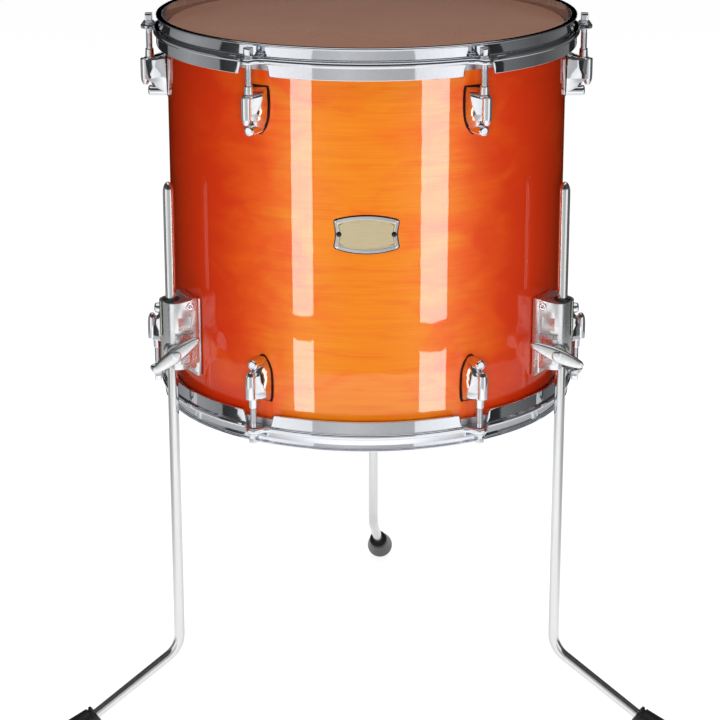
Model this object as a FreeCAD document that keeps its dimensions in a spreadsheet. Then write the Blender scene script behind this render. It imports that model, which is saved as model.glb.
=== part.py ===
# Floor tom drum: ply shell, two heads under flanged hoops, lugs and tension rods, and three bent
# legs held in clamp brackets. Millimetres, +Z up. The origin lies on the floor at the middle of
# the drum's outline. A polar angle of 0 is the front (-Y), and it grows towards +X.

import FreeCAD, Part
import math
import os
import Sketcher

Vector = FreeCAD.Vector
Rotation = FreeCAD.Rotation
doc = FreeCAD.newDocument("FloorTom")

# Driving sizes: name, value, meaning
SIZES = [
    ("shell_radius", 177.8, "outside of the shell, 14 inch drum"),
    ("shell_height", 330.2, "end to end, 13 inches"),
    ("shell_wall", 6.0, "ply thickness"),
    ("crest_inset", 2.0, "bearing edge crest, in from the outside"),
    ("roundover_drop", 3.2, "height of the rounded outside of the bearing edge"),
    ("floor_drop", 483.0, "from the middle of the shell down to the floor"),
    ("film_thick", 0.4, "head film"),
    ("flesh_wall", 5.0, "flesh hoop, radial"),
    ("flesh_gap", 0.4, "flesh hoop inside the hoop's skirt"),
    ("flesh_height", 8.2, "flesh hoop, along the axis"),
    ("hoop_gap", 3.8, "from the shell out to the hoop's collar"),
    ("hoop_sheet", 2.4, "hoop wall"),
    ("skirt_step", 3.0, "skirt further out than the collar"),
    ("rim_rise", 9.4, "rim above the shell's end"),
    ("lip_width", 3.0, "rolled rim, out from the collar"),
    ("lip_thick", 2.1, "rolled rim, along the axis"),
    ("flange_fall", 2.1, "top of the flange below the shell's end"),
    ("flange_thick", 4.8, "folded flange and ears"),
    ("flange_width", 6.0, "flange, out from the collar"),
    ("skirt_length", 15.6, "from the flange's top to the skirt's edge"),
    ("ear_width", 26.0, "ear at its root and the gap in the skirt"),
    ("ear_neck", 15.0, "ear's width beside the rod"),
    ("ear_nose", 6.5, "ear past the rod's axis"),
    ("ear_overlap", 1.0, "ear drawn into the flange, and the skirt's gap past it"),
    ("ear_relief", 0.2, "gap in the skirt off the collar"),
    ("lug_count", 6, "lugs at each end"),
    ("rod_offset", 16.2, "rod axis out from the shell"),
    ("rod_radius", 2.75, "tension rod"),
    ("rod_hole_gap", 0.35, "rod hole larger than the rod, radially"),
    ("rod_tip_gap", 2.5, "rod's tip short of the lug's bore end"),
    ("rod_tip_width", 0.7, "taper at the rod's tip, across"),
    ("rod_tip_height", 1.2, "taper at the rod's tip, along the axis"),
    ("square_side", 6.4, "rod's square head"),
    ("square_height", 6.6, "rod's square head, along the axis"),
    ("collar_radius", 5.0, "collar under the square head"),
    ("collar_thick", 1.6, "collar under the square head"),
    ("washer_radius", 6.0, "washer on the ear"),
    ("washer_thick", 1.2, "washer on the ear"),
    ("running_gap", 0.05, "clearance of a turning or sliding fit"),
    ("lug_fall", 33.1, "lug's wide end below the shell's end"),
    ("lug_height", 34.0, "lug, along the shell"),
    ("lug_width", 19.5, "lug, across"),
    ("lug_end_width", 9.0, "lug's narrow end, across"),
    ("lug_reach", 24.7, "lug, out from the shell"),
    ("lug_rib_width", 8.6, "rib down the lug's front"),
    ("lug_straight", 11.5, "upright part of the lug's front"),
    ("lug_rib_fall", 12.0, "end of the rib below the upright part"),
    ("lug_shoulder", 4.0, "lug's widest edge, in from the rod's axis"),
    ("lug_end_flare", 2.0, "lug's taper, wider above its narrow end"),
    ("lug_end_rise", 4.0, "height of that wider place"),
    ("lug_bar_radius", 4.7, "round bar across the lug's narrow end"),
    ("lug_bar_rise", 4.3, "round bar's axis above the narrow end"),
    ("lug_bar_reach", 18.2, "round bar, out from the shell"),
    ("lug_end_reach", 10.5, "lug's narrow end, out from the shell"),
    ("lug_bore_depth", 18.0, "bore for the swivel nut"),
    ("gasket_thick", 1.0, "gasket under a lug or bracket"),
    ("gasket_inset", 0.8, "gasket's edge in from the casting's"),
    ("lug_gasket_rise", 6.0, "lug's gasket short of its narrow end"),
    ("nut_radius", 4.4, "swivel nut in the bore"),
    ("nut_nose_radius", 3.7, "swivel nut's outer end"),
    ("nut_rise", 9.0, "swivel nut out of the lug"),
    ("nut_depth", 14.0, "swivel nut in the lug"),
    ("nut_taper", 1.0, "start of the nut's taper above the lug"),
    ("screw_radius", 2.5, "lug screw"),
    ("screw_hole_gap", 0.3, "hole in the shell larger than its screw"),
    ("screw_pitch", 20.0, "between a lug's two screws"),
    ("screw_lift", 1.0, "lug's screws above its middle"),
    ("thread_past", 0.5, "threaded hole past the screw's end"),
    ("screw_bite", 7.0, "screw into its casting"),
    ("screw_head_radius", 4.6, "screw head"),
    ("screw_head_height", 3.0, "screw head"),
    ("screw_head_edge", 1.0, "chamfer on the screw head"),
    ("flat_washer_radius", 6.0, "washer inside the shell"),
    ("flat_washer_thick", 1.0, "washer inside the shell"),
    ("washer_seat", 0.12, "flat washer off the hollow wall"),
    ("leg_offset", 20.4, "leg's axis out from the shell"),
    ("leg_radius", 4.75, "leg rod"),
    ("leg_rise", 42.0, "leg's top above the middle of the shell"),
    ("bend_height", 85.0, "corner of the bend above the floor"),
    ("bend_radius", 25.0, "bend on its centre line"),
    ("leg_tilt", 57.0, "lower run, from upright"),
    ("front_leg_angle", 60.0, "front brackets, polar angle"),
    ("front_foot_angle", 68.0, "heading of the front feet, polar angle"),
    ("back_leg_angle", 178.0, "back bracket, polar angle"),
    ("back_foot_angle", 176.0, "heading of the back foot, polar angle"),
    ("foot_radius", 13.35, "rubber foot at its widest"),
    ("foot_neck_radius", 9.2, "rubber foot's near end"),
    ("foot_length", 36.0, "from the near end to the rounded end's centre"),
    ("foot_flat", 0.5, "depth of the worn flat under the foot"),
    ("foot_groove", 1.4, "depth of the groove round the foot"),
    ("foot_groove_width", 2.2, "groove round the foot"),
    ("foot_groove_start", 2.8, "groove from the foot's near end"),
    ("foot_end_wall", 4.0, "rod's end short of the rounded end's centre"),
    ("bracket_end_gap", 32.1, "bracket's base plate above the shell's lower end"),
    ("bracket_height", 60.0, "bracket block"),
    ("bracket_width", 31.0, "bracket block, across"),
    ("bracket_reach", 28.2, "bracket block, out from the shell"),
    ("base_width", 34.0, "bracket's base plate, across"),
    ("base_over", 3.0, "base plate above the block"),
    ("base_under", 8.0, "base plate below the block"),
    ("base_thick", 6.7, "base plate, out from the shell"),
    ("base_chamfer", 1.5, "base plate's outer edges"),
    ("bracket_screw_inset", 6.5, "bracket's screws in from the base plate's edges"),
    ("bracket_screw_fall", 1.5, "lower screws below the block"),
    ("block_chamfer", 8.0, "block's outer edge on the wing bolt's side"),
    ("block_corner", 11.0, "block's outer edge on the jaw's side, along the radius"),
    ("block_nose", 3.0, "block's outer edge on the jaw's side, from the middle"),
    ("casting_overlap", 3.0, "castings drawn into the shell before their seat is cut"),
    ("cut_past", 5.0, "how far a cut runs past the solid"),
    ("recess_fall", 15.0, "recess in the side face, below the bracket's top"),
    ("recess_height", 8.0, "recess in the side face"),
    ("recess_length", 13.0, "recess in the side face, along the radius"),
    ("recess_start", 8.0, "recess in the side face, out from the gasket"),
    ("recess_depth", 3.0, "recess and clamping gap into the side face"),
    ("gap_fall", 26.0, "clamping gap below the bracket's top"),
    ("gap_height", 2.0, "clamping gap"),
    ("gap_length", 30.0, "clamping gap, along the radius"),
    ("bush_wall", 1.4, "nylon bush"),
    ("bush_collar_radius", 7.6, "bush's collar"),
    ("bush_collar_height", 2.4, "bush's collar"),
    ("bush_collar_edge", 0.8, "chamfer on the bush's collar"),
    ("bush_slit", 1.2, "slit down the bush"),
    ("bolt_fall", 43.0, "wing bolt below the bracket's top"),
    ("bolt_turn", 17.0, "wing bolt's axis, turned outwards from square"),
    ("bolt_radius", 4.0, "wing bolt's thread"),
    ("bolt_tip_gap", 0.3, "bolt's tip to the bush"),
    ("boss_radius", 7.0, "boss round the wing bolt"),
    ("boss_reach", 18.0, "boss's face from the leg's axis"),
    ("bolt_point", 1.0, "chamfer at the wing bolt's point"),
    ("bolt_washer_thick", 1.5, "washer turned on the wing bolt"),
    ("bolt_washer_over", 1.4, "washer wider than the hub"),
    ("hub_gap", 0.6, "wing bolt's washer off the boss"),
    ("hub_radius", 6.4, "wing bolt's hub"),
    ("hub_length", 11.0, "wing bolt's hub"),
    ("hub_edge", 2.0, "chamfer on the wing bolt's hub"),
    ("wing_span", 50.0, "wing bolt, tip to tip"),
    ("wing_root", 10.0, "wing at the hub"),
    ("wing_tip", 6.4, "wing at its tip"),
    ("wing_thick", 6.4, "wing, along the bolt"),
    ("left_wing_tilt", 34.0, "outer wing down"),
    ("right_wing_tilt", 20.0, "outer wing down"),
    ("back_wing_tilt", 27.0, "outer wing down"),
    ("jaw_height", 33.0, "clamp jaw"),
    ("jaw_thick", 3.0, "clamp jaw"),
    ("jaw_out", 0.75, "direction of the jaw's thickness, out from the shell"),
    ("jaw_across", 0.66, "direction of the jaw's thickness, across"),
    ("jaw_curve", 14.0, "radius of the jaw's outside"),
    ("pin_radius", 2.0, "jaw pin"),
    ("pin_length", 66.0, "jaw and the pin below it"),
    ("pin_offset", 4.4, "pin's axis off the block's corner, with the jaw's thickness"),
    ("pin_nut_radius", 4.0, "nut on the jaw pin"),
    ("pin_nut_height", 5.0, "nut on the jaw pin"),
    ("pin_nut_gap", 0.5, "nut below the block"),
    ("socket_radius", 3.6, "socket screw's head"),
    ("socket_rise", 1.4, "socket screw's head off the block"),
    ("socket_length", 9.0, "socket screw, head and shank"),
    ("socket_shank_radius", 2.0, "socket screw's shank"),
    ("socket_out", 11.0, "socket screw out from the gasket"),
    ("socket_fall", 9.0, "socket screw below the bracket's top"),
    ("badge_width", 57.0, "badge, across"),
    ("badge_height", 34.0, "badge at its middle"),
    ("badge_side_height", 25.0, "badge at its corners"),
    ("badge_waist", 3.2, "how far the badge's sides curve in"),
    ("badge_thick", 0.9, "badge plate"),
    ("badge_rise", 16.0, "badge's middle above the shell's"),
    ("rivet_spacing", 46.2, "between the badge's rivets"),
    ("rivet_radius", 1.6, "badge rivet"),
    ("rivet_head_radius", 2.5, "badge rivet's head"),
    ("rivet_head_height", 1.0, "badge rivet's head"),
]


class Size:
    """A number together with the spreadsheet expression that gives it."""

    def __init__(self, number, text):
        self.number = number
        self.text = text

    def join(self, sign, other, number):
        return Size(number, "(" + self.text + sign + other.text + ")")

    def __add__(self, other):
        other = as_size(other)
        return self.join(" + ", other, self.number + other.number)

    def __sub__(self, other):
        other = as_size(other)
        return self.join(" - ", other, self.number - other.number)

    def __mul__(self, other):
        other = as_size(other)
        return self.join(" * ", other, self.number * other.number)

    def __truediv__(self, other):
        other = as_size(other)
        return self.join(" / ", other, self.number / other.number)

    def __radd__(self, other):
        return as_size(other) + self

    def __rsub__(self, other):
        return as_size(other) - self

    def __rmul__(self, other):
        return as_size(other) * self

    def __neg__(self):
        return Size(-self.number, "(-1 * " + self.text + ")")


def as_size(value):
    if isinstance(value, Size):
        return value
    return Size(float(value), "(" + repr(float(value)) + ")")


def sine(angle):
    angle = as_size(angle)
    return Size(math.sin(math.radians(angle.number)), "sin(" + angle.text + ")")


def cosine(angle):
    angle = as_size(angle)
    return Size(math.cos(math.radians(angle.number)), "cos(" + angle.text + ")")


def tangent(angle):
    angle = as_size(angle)
    return Size(math.tan(math.radians(angle.number)), "tan(" + angle.text + ")")


def make_sheet():
    sheet = doc.addObject("Spreadsheet::Sheet", "Sizes")
    table = {}
    for row, (name, number, meaning) in enumerate(SIZES, start=1):
        sheet.set("A" + str(row), name)
        sheet.set("B" + str(row), str(number))
        sheet.setAlias("B" + str(row), name)
        sheet.set("C" + str(row), meaning)
        table[name] = Size(number, "Sizes." + name)
    doc.recompute()
    return table


S = make_sheet()


def bind(item, name, value):
    value = as_size(value)
    item.setExpression(name, value.text)


# Sketches and features of a body

def new_body(label):
    body = doc.addObject("PartDesign::Body", label)
    body.Label = label
    return body


def datum(body, role):
    return [item for item in body.Origin.OriginFeatures if item.Role == role][0]


def new_sketch(body, plane, lift=0):
    """A sketch on a plane of the body, lifted along that plane's normal."""
    sketch = body.newObject("Sketcher::SketchObject", body.Name + "_sketch")
    sketch.AttachmentSupport = (datum(body, plane), [""])
    sketch.MapMode = "FlatFace"
    bind(sketch, "AttachmentOffset.Base.z", lift)
    return sketch


def outline(sketch, corners):
    """A closed anticlockwise outline. A corner is (x, y), or (x, y, radius) where an arc runs on
    to the next corner, inwards where the radius is negative, or (x, y, "round") for a half circle."""
    first = sketch.GeometryCount
    count = len(corners)
    spots = [Vector(as_size(c[0]).number, as_size(c[1]).number, 0) for c in corners]
    inward = [len(c) == 3 and c[2] != "round" and as_size(c[2]).number < 0 for c in corners]
    for i, corner in enumerate(corners):
        start, end = spots[i], spots[(i + 1) % count]
        if len(corner) == 2:
            sketch.addGeometry(Part.LineSegment(start, end), False)
            continue
        half = (end - start) * 0.5
        side = Vector(half.y, -half.x, 0).normalize()
        bulge = half.Length
        if corner[2] != "round":
            radius = as_size(corner[2]).number
            bulge = math.copysign(abs(radius) - math.sqrt(radius ** 2 - half.Length ** 2), radius)
        sketch.addGeometry(Part.Arc(start, start + half + side * bulge, end), False)
    for i, corner in enumerate(corners):
        here, after = first + i, first + (i + 1) % count
        # an inward arc is stored from its far end
        starts, ends = (2, 1) if inward[i] else (1, 2)
        next_start = 2 if inward[(i + 1) % count] else 1
        sketch.addConstraint(Sketcher.Constraint("Coincident", here, ends, after, next_start))
        measure(sketch, here, starts, corner[0], corner[1])
        if len(corner) == 3 and corner[2] == "round":
            following = corners[(i + 1) % count]
            chord = spots[(i + 1) % count] - spots[i]
            axis = 0 if abs(chord.y) > abs(chord.x) else 1
            middle = (as_size(corner[axis]) + following[axis]) / 2
            constrain(sketch, ("DistanceX", "DistanceY")[axis], middle, -1, 1, here, 3)
        elif len(corner) == 3:
            radius = as_size(corner[2])
            constrain(sketch, "Radius", radius if radius.number > 0 else -radius, here)


def constrain(sketch, kind, value, *parts):
    row = sketch.addConstraint(Sketcher.Constraint(kind, *parts, as_size(value).number))
    bind(sketch, "Constraints[" + str(row) + "]", value)


def measure(sketch, edge, point, across, up):
    """Fixes a point of an edge from the sketch's origin."""
    constrain(sketch, "DistanceX", across, -1, 1, edge, point)
    constrain(sketch, "DistanceY", up, -1, 1, edge, point)


def ring(sketch, across, up, radius):
    """A circle in a sketch."""
    place = Vector(as_size(across).number, as_size(up).number, 0)
    circle = Part.Circle(place, Vector(0, 0, 1), as_size(radius).number)
    index = sketch.addGeometry(circle, False)
    measure(sketch, index, 3, across, up)
    constrain(sketch, "Radius", radius, index)


def add_pad(body, sketch, length, both_ways=False, reverse=False):
    pad = body.newObject("PartDesign::Pad", body.Name + "_pad")
    pad.Profile = sketch
    pad.SideType = "Symmetric" if both_ways else "One side"
    pad.Reversed = reverse
    bind(pad, "Length", length)
    return pad


def cut_pocket(body, sketch, length, both_ways=False, reverse=True):
    """A pocket that cuts along the sketch plane's normal, or to both sides of the plane."""
    pocket = body.newObject("PartDesign::Pocket", body.Name + "_pocket")
    pocket.Profile = sketch
    pocket.SideType = "Symmetric" if both_ways else "One side"
    pocket.Reversed = reverse
    bind(pocket, "Length", length)
    return pocket


def revolve(body, sketch, axis="V_Axis"):
    turned = body.newObject("PartDesign::Revolution", body.Name + "_revolution")
    turned.Profile = sketch
    turned.ReferenceAxis = (sketch, [axis])
    turned.Angle = 360
    return turned


def repeat_round(body, features, count):
    pattern = body.newObject("PartDesign::PolarPattern", body.Name + "_pattern")
    pattern.Originals = features
    pattern.Axis = (datum(body, "Z_Axis"), [""])
    pattern.Angle = 360
    bind(pattern, "Occurrences", count)
    body.Tip = pattern
    return pattern


# Part primitives

def cylinder(label, radius, length, base=(0, 0, 0), rotation=Rotation()):
    solid = doc.addObject("Part::Cylinder", label)
    bind(solid, "Radius", radius)
    bind(solid, "Height", length)
    put(solid, base, rotation)
    return solid


def cone(label, near_radius, far_radius, length, base=(0, 0, 0), rotation=Rotation()):
    solid = doc.addObject("Part::Cone", label)
    bind(solid, "Radius1", near_radius)
    bind(solid, "Radius2", far_radius)
    bind(solid, "Height", length)
    put(solid, base, rotation)
    return solid


def sphere(label, radius, base=(0, 0, 0)):
    solid = doc.addObject("Part::Sphere", label)
    bind(solid, "Radius", radius)
    put(solid, base, Rotation())
    return solid


def box(label, length, width, height, base=(0, 0, 0), rotation=Rotation()):
    solid = doc.addObject("Part::Box", label)
    bind(solid, "Length", length)
    bind(solid, "Width", width)
    bind(solid, "Height", height)
    put(solid, base, rotation)
    return solid


def put(item, base, rotation):
    item.Placement = FreeCAD.Placement(Vector(0, 0, 0), rotation)
    for letter, value in zip("xyz", base):
        bind(item, "Placement.Base." + letter, value)


def fuse(label, items):
    joined = doc.addObject("Part::MultiFuse", label)
    joined.Shapes = items
    joined.Label = label
    return joined


def cut(label, base, tool):
    result = doc.addObject("Part::Cut", label)
    result.Base = base
    result.Tool = tool
    result.Label = label
    return result


def group(label, master, places):
    """One node that holds a copy of the master at each place."""
    doc.recompute()
    gathered = doc.addObject("Part::Feature", label)
    gathered.Label = label
    copies = []
    for place in places:
        copy = master.Shape.copy()
        copy.Placement = place.multiply(master.Shape.Placement)
        copies.append(copy)
    gathered.Shape = Part.makeCompound(copies)
    return gathered


# Places in the drum's frame, whose origin is the middle of the shell

half_height = S["shell_height"] / 2
rod_circle = S["shell_radius"] + S["rod_offset"]
leg_circle = S["shell_radius"] + S["leg_offset"]
inner_radius = S["shell_radius"] - S["shell_wall"]
gasket_face = S["shell_radius"] + S["gasket_thick"]
flange_top = half_height - S["flange_fall"]
flange_bottom = flange_top - S["flange_thick"]
collar_inner = S["shell_radius"] + S["hoop_gap"]
collar_outer = collar_inner + S["hoop_sheet"]
flange_reach = collar_outer + S["flange_width"]
bend_trim = S["bend_radius"] * tangent(S["leg_tilt"] / 2)
foot_centre_height = S["foot_radius"] - S["foot_flat"]
run_length = (S["bend_height"] - foot_centre_height) / cosine(S["leg_tilt"])
foot_run = run_length * sine(S["leg_tilt"])
back_reach = (leg_circle * cosine(180 - S["back_leg_angle"])
              + foot_run * cosine(180 - S["back_foot_angle"]) + S["foot_radius"])
axis_y = (flange_reach - back_reach) / 2

LUG_STEP = 360 / S["lug_count"].number
LUG_ANGLES = [LUG_STEP * (i + 0.5) for i in range(int(S["lug_count"].number))]
OUT_ALONG_X = Rotation(Vector(0, 1, 0), 90)
SIDES = {
    "left": (-S["front_leg_angle"], -S["front_foot_angle"], 1, S["left_wing_tilt"]),
    "right": (S["front_leg_angle"], S["front_foot_angle"], -1, S["right_wing_tilt"]),
    "back": (S["back_leg_angle"], S["back_foot_angle"], 1, S["back_wing_tilt"]),
}


def stand(item, polar, flip=False, radius=0, heading=None):
    """Turns a piece drawn along +X to its polar angle and sets it in the finished drum."""
    polar = as_size(polar)
    heading = as_size(polar if heading is None else heading)
    spin = Rotation(Vector(0, 0, 1), heading.number - 90)
    if flip:
        spin = spin.multiply(Rotation(Vector(1, 0, 0), 180))
    put(item, (radius * sine(polar), axis_y - radius * cosine(polar), S["floor_drop"]), spin)
    return item


def place_of(polar, flip=False, side=0, up=0, out=0):
    """The placement of one copy in a group, moved sideways, up and out in its own frame."""
    spin = Rotation(Vector(0, 0, 1), as_size(polar).number - 90)
    if flip:
        spin = spin.multiply(Rotation(Vector(1, 0, 0), 180))
    centre = Vector(0, axis_y.number, S["floor_drop"].number)
    shift = spin.multVec(Vector(*[as_size(move).number for move in (out, side, up)]))
    return FreeCAD.Placement(centre + shift, spin)


NODES = []


def keep(item):
    NODES.append(item)
    return item


# Shell

def radial_hole(label, polar, side, up, radius):
    """A drill through the shell's wall, square to it at the given polar angle."""
    spin = Rotation(Vector(0, 0, 1), as_size(polar).number - 90)
    start = inner_radius - S["shell_wall"]
    base = (start * sine(polar) + side * cosine(polar), side * sine(polar) - start * cosine(polar), up)
    return cylinder(label, radius, S["shell_wall"] * 3, base, spin.multiply(OUT_ALONG_X))


lug_middle = half_height - S["lug_fall"] - S["lug_height"] / 2
lug_screw_ups = [lug_middle + S["screw_lift"] - S["screw_pitch"] / 2,
                 lug_middle + S["screw_lift"] + S["screw_pitch"] / 2]
bracket_bottom = half_height - S["bracket_end_gap"] - S["base_under"]
bracket_top = bracket_bottom - S["bracket_height"]
bracket_screw_side = S["base_width"] / 2 - S["bracket_screw_inset"]
bracket_screw_sides = [bracket_screw_side, -bracket_screw_side]
bracket_screw_ups = [-bracket_top - S["bracket_screw_inset"], -bracket_bottom - S["bracket_screw_fall"]]


def make_shell():
    body = new_body("shell_turned")
    sketch = new_sketch(body, "XZ_Plane")
    crest = S["shell_radius"] - S["crest_inset"]
    bevel = crest - inner_radius
    shoulder = half_height - S["roundover_drop"]
    outline(sketch, [
        (inner_radius, bevel - half_height), (crest, -half_height),
        (S["shell_radius"], -shoulder), (S["shell_radius"], shoulder),
        (crest, half_height), (inner_radius, half_height - bevel)])
    revolve(body, sketch)
    drills = []
    hole = S["screw_radius"] + S["screw_hole_gap"]
    for polar in LUG_ANGLES:
        for up in lug_screw_ups:
            drills.append(radial_hole("lug_drill", polar, 0, up, hole))
            drills.append(radial_hole("lug_drill", polar, 0, -up, hole))
    for polar, heading, side, tilt in SIDES.values():
        for across in bracket_screw_sides:
            for up in bracket_screw_ups:
                drills.append(radial_hole("bracket_drill", polar, across, up, hole))
    for across in (-S["rivet_spacing"] / 2, S["rivet_spacing"] / 2):
        drills.append(radial_hole("rivet_drill", 0, across, S["badge_rise"], S["rivet_radius"]))
    return keep(stand(cut("shell", body, fuse("shell_drills", drills)), 90))


# Heads and hoops

flesh_outer = collar_inner + S["skirt_step"] - S["flesh_gap"]
flesh_inner = flesh_outer - S["flesh_wall"]
flesh_top = flange_top - S["hoop_sheet"]


def make_head(label, flip):
    """Film over the bearing edge and down into the flesh hoop."""
    body = new_body(label)
    sketch = new_sketch(body, "XZ_Plane")
    crest = S["shell_radius"] - S["crest_inset"]
    film = S["film_thick"]
    outline(sketch, [
        (0, half_height), (crest, half_height), (flesh_inner, flesh_top),
        (flesh_inner + film, flesh_top), (crest + film / 2, half_height + film),
        (0, half_height + film)])
    revolve(body, sketch)
    return keep(stand(body, 90, flip))


def make_flesh_hoop(label, flip):
    body = new_body(label)
    sketch = new_sketch(body, "XZ_Plane")
    low = flesh_top - S["flesh_height"]
    outline(sketch, [
        (flesh_inner, low), (flesh_outer, low), (flesh_outer, flesh_top), (flesh_inner, flesh_top)])
    revolve(body, sketch)
    return keep(stand(body, 90, flip))


def make_hoop(label, flip):
    """Triple-flanged hoop: rolled rim, collar, folded flange with ears, and a skirt."""
    body = new_body(label)
    section = new_sketch(body, "XZ_Plane")
    rim = half_height + S["rim_rise"]
    lip = rim - S["lip_thick"]
    skirt_inner = collar_inner + S["skirt_step"]
    skirt_outer = skirt_inner + S["hoop_sheet"]
    skirt_edge = flange_top - S["skirt_length"]
    bead = S["flange_thick"] / 2
    outline(section, [
        (collar_inner, rim), (collar_inner, flesh_top), (skirt_inner, flesh_top),
        (skirt_inner, skirt_edge), (skirt_outer, skirt_edge), (skirt_outer, flange_bottom),
        (flange_reach - bead, flange_bottom, "round"), (flange_reach - bead, flange_top),
        (collar_outer, flange_top), (collar_outer, lip),
        (collar_outer + S["lip_width"], lip, "round"), (collar_outer + S["lip_width"], rim)])
    revolve(body, section)
    ear = new_sketch(body, "XY_Plane", flange_bottom)
    nose = S["ear_neck"] / 2
    root = collar_outer + S["ear_overlap"]
    edge = flange_reach - S["ear_overlap"]
    outline(ear, [
        (root, -S["ear_width"] / 2), (edge, -S["ear_width"] / 2), (rod_circle, -nose),
        (rod_circle + S["ear_nose"], -nose / 2, nose), (rod_circle + S["ear_nose"], nose / 2),
        (rod_circle, nose), (edge, S["ear_width"] / 2), (root, S["ear_width"] / 2)])
    ear_pad = add_pad(body, ear, S["flange_thick"])
    gap = new_sketch(body, "XY_Plane", skirt_edge)
    near = collar_outer + S["ear_relief"]
    far = flange_reach + S["ear_overlap"]
    outline(gap, [(near, -S["ear_width"] / 2), (far, -S["ear_width"] / 2),
                  (far, S["ear_width"] / 2), (near, S["ear_width"] / 2)])
    gap_cut = cut_pocket(body, gap, flange_bottom - skirt_edge)
    hole = new_sketch(body, "XY_Plane", flange_bottom)
    ring(hole, rod_circle, 0, S["rod_radius"] + S["rod_hole_gap"])
    hole_cut = cut_pocket(body, hole, S["flange_thick"])
    repeat_round(body, [ear_pad, gap_cut, hole_cut], S["lug_count"])
    return keep(stand(body, 90, flip))


# Lugs, their nuts and the tension rods

lug_top = half_height - S["lug_fall"]
lug_bottom = lug_top - S["lug_height"]
lug_front = S["shell_radius"] + S["lug_reach"]


def make_lug(label, polar, flip):
    """Lug whose ribbed front slopes in to a round bar, bored for the swivel nut."""
    body = new_body(label)
    half = S["lug_width"] / 2
    rib = S["lug_rib_width"] / 2
    past = S["cut_past"]
    root = S["shell_radius"] - S["casting_overlap"]
    shoulder = rod_circle - S["lug_shoulder"]
    plan = new_sketch(body, "XY_Plane", lug_bottom)
    outline(plan, [
        (root, -half), (shoulder, -half), (lug_front - rib, -rib, "round"),
        (lug_front - rib, rib), (shoulder, half), (root, half)])
    add_pad(body, plan, S["lug_height"])
    slope = new_sketch(body, "XZ_Plane")
    knee = lug_top - S["lug_straight"]
    end = S["shell_radius"] + S["lug_end_reach"]
    outline(slope, [
        (lug_front, knee), (lug_front - rib, knee - S["lug_rib_fall"]), (end, lug_bottom),
        (end, lug_bottom - past), (lug_front + past, lug_bottom - past), (lug_front + past, knee)])
    cut_pocket(body, slope, S["lug_width"] * 2, both_ways=True)
    taper = new_sketch(body, "YZ_Plane")
    small = S["lug_end_width"] / 2
    start = lug_top - S["lug_straight"] / 2
    for side in (1, -1):
        outline(taper, [
            (side * half, start), (side * (small + S["lug_end_flare"]), lug_bottom + S["lug_end_rise"]),
            (side * small, lug_bottom), (side * small, lug_bottom - past),
            (side * (half + past), lug_bottom - past), (side * (half + past), start)])
    cut_pocket(body, taper, lug_front + past)
    bar = new_sketch(body, "YZ_Plane")
    ring(bar, 0, lug_bottom + S["lug_bar_rise"], S["lug_bar_radius"])
    add_pad(body, bar, S["shell_radius"] + S["lug_bar_reach"])
    seat = new_sketch(body, "XY_Plane")
    ring(seat, 0, 0, gasket_face)
    cut_pocket(body, seat, lug_top + past)
    bore = new_sketch(body, "XY_Plane", lug_top - S["lug_bore_depth"])
    ring(bore, rod_circle, 0, S["nut_radius"] + S["running_gap"])
    cut_pocket(body, bore, S["lug_bore_depth"])
    threads = new_sketch(body, "YZ_Plane")
    for up in lug_screw_ups:
        ring(threads, 0, up, S["screw_radius"] + S["running_gap"])
    cut_pocket(body, threads, S["shell_radius"] + S["screw_bite"] + S["thread_past"])
    return keep(stand(body, polar, flip))


def make_nut():
    """Tapered swivel nut on the rod circle, before it is placed."""
    body = new_body("swivel_nut")
    sketch = new_sketch(body, "XZ_Plane")
    bore = S["rod_radius"] + S["running_gap"]
    outline(sketch, [
        (bore, lug_top - S["nut_depth"]), (S["nut_radius"], lug_top - S["nut_depth"]),
        (S["nut_radius"], lug_top + S["nut_taper"]), (S["nut_nose_radius"], lug_top + S["nut_rise"]),
        (bore, lug_top + S["nut_rise"])])
    revolve(body, sketch)
    put(body, (rod_circle, 0, 0), Rotation())
    return body


def make_rod(label, polar, flip):
    """Tension rod with a collar and a square head, on its own axis."""
    body = new_body(label)
    seat = flange_top + S["washer_thick"] + S["running_gap"]
    sketch = new_sketch(body, "XZ_Plane")
    tip = lug_top - S["lug_bore_depth"] + S["rod_tip_gap"]
    outline(sketch, [
        (0, tip), (S["rod_radius"] - S["rod_tip_width"], tip),
        (S["rod_radius"], tip + S["rod_tip_height"]),
        (S["rod_radius"], seat), (S["collar_radius"], seat),
        (S["collar_radius"], seat + S["collar_thick"] / 2),
        (S["square_side"] / 2, seat + S["collar_thick"]), (0, seat + S["collar_thick"])])
    revolve(body, sketch)
    side = S["square_side"] / 2
    head = new_sketch(body, "XY_Plane", seat + S["collar_thick"] / 2)
    outline(head, [(-side, -side), (side, -side), (side, side), (-side, side)])
    add_pad(body, head, S["square_height"] + S["collar_thick"] / 2)
    return keep(stand(body, polar, flip, rod_circle))


def make_washer():
    """Washer between the ear and the rod's collar, before it is placed."""
    body = new_body("rod_washer")
    sketch = new_sketch(body, "XY_Plane", flange_top)
    ring(sketch, rod_circle, 0, S["washer_radius"])
    ring(sketch, rod_circle, 0, S["rod_radius"] + S["rod_hole_gap"])
    add_pad(body, sketch, S["washer_thick"])
    return body


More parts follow.
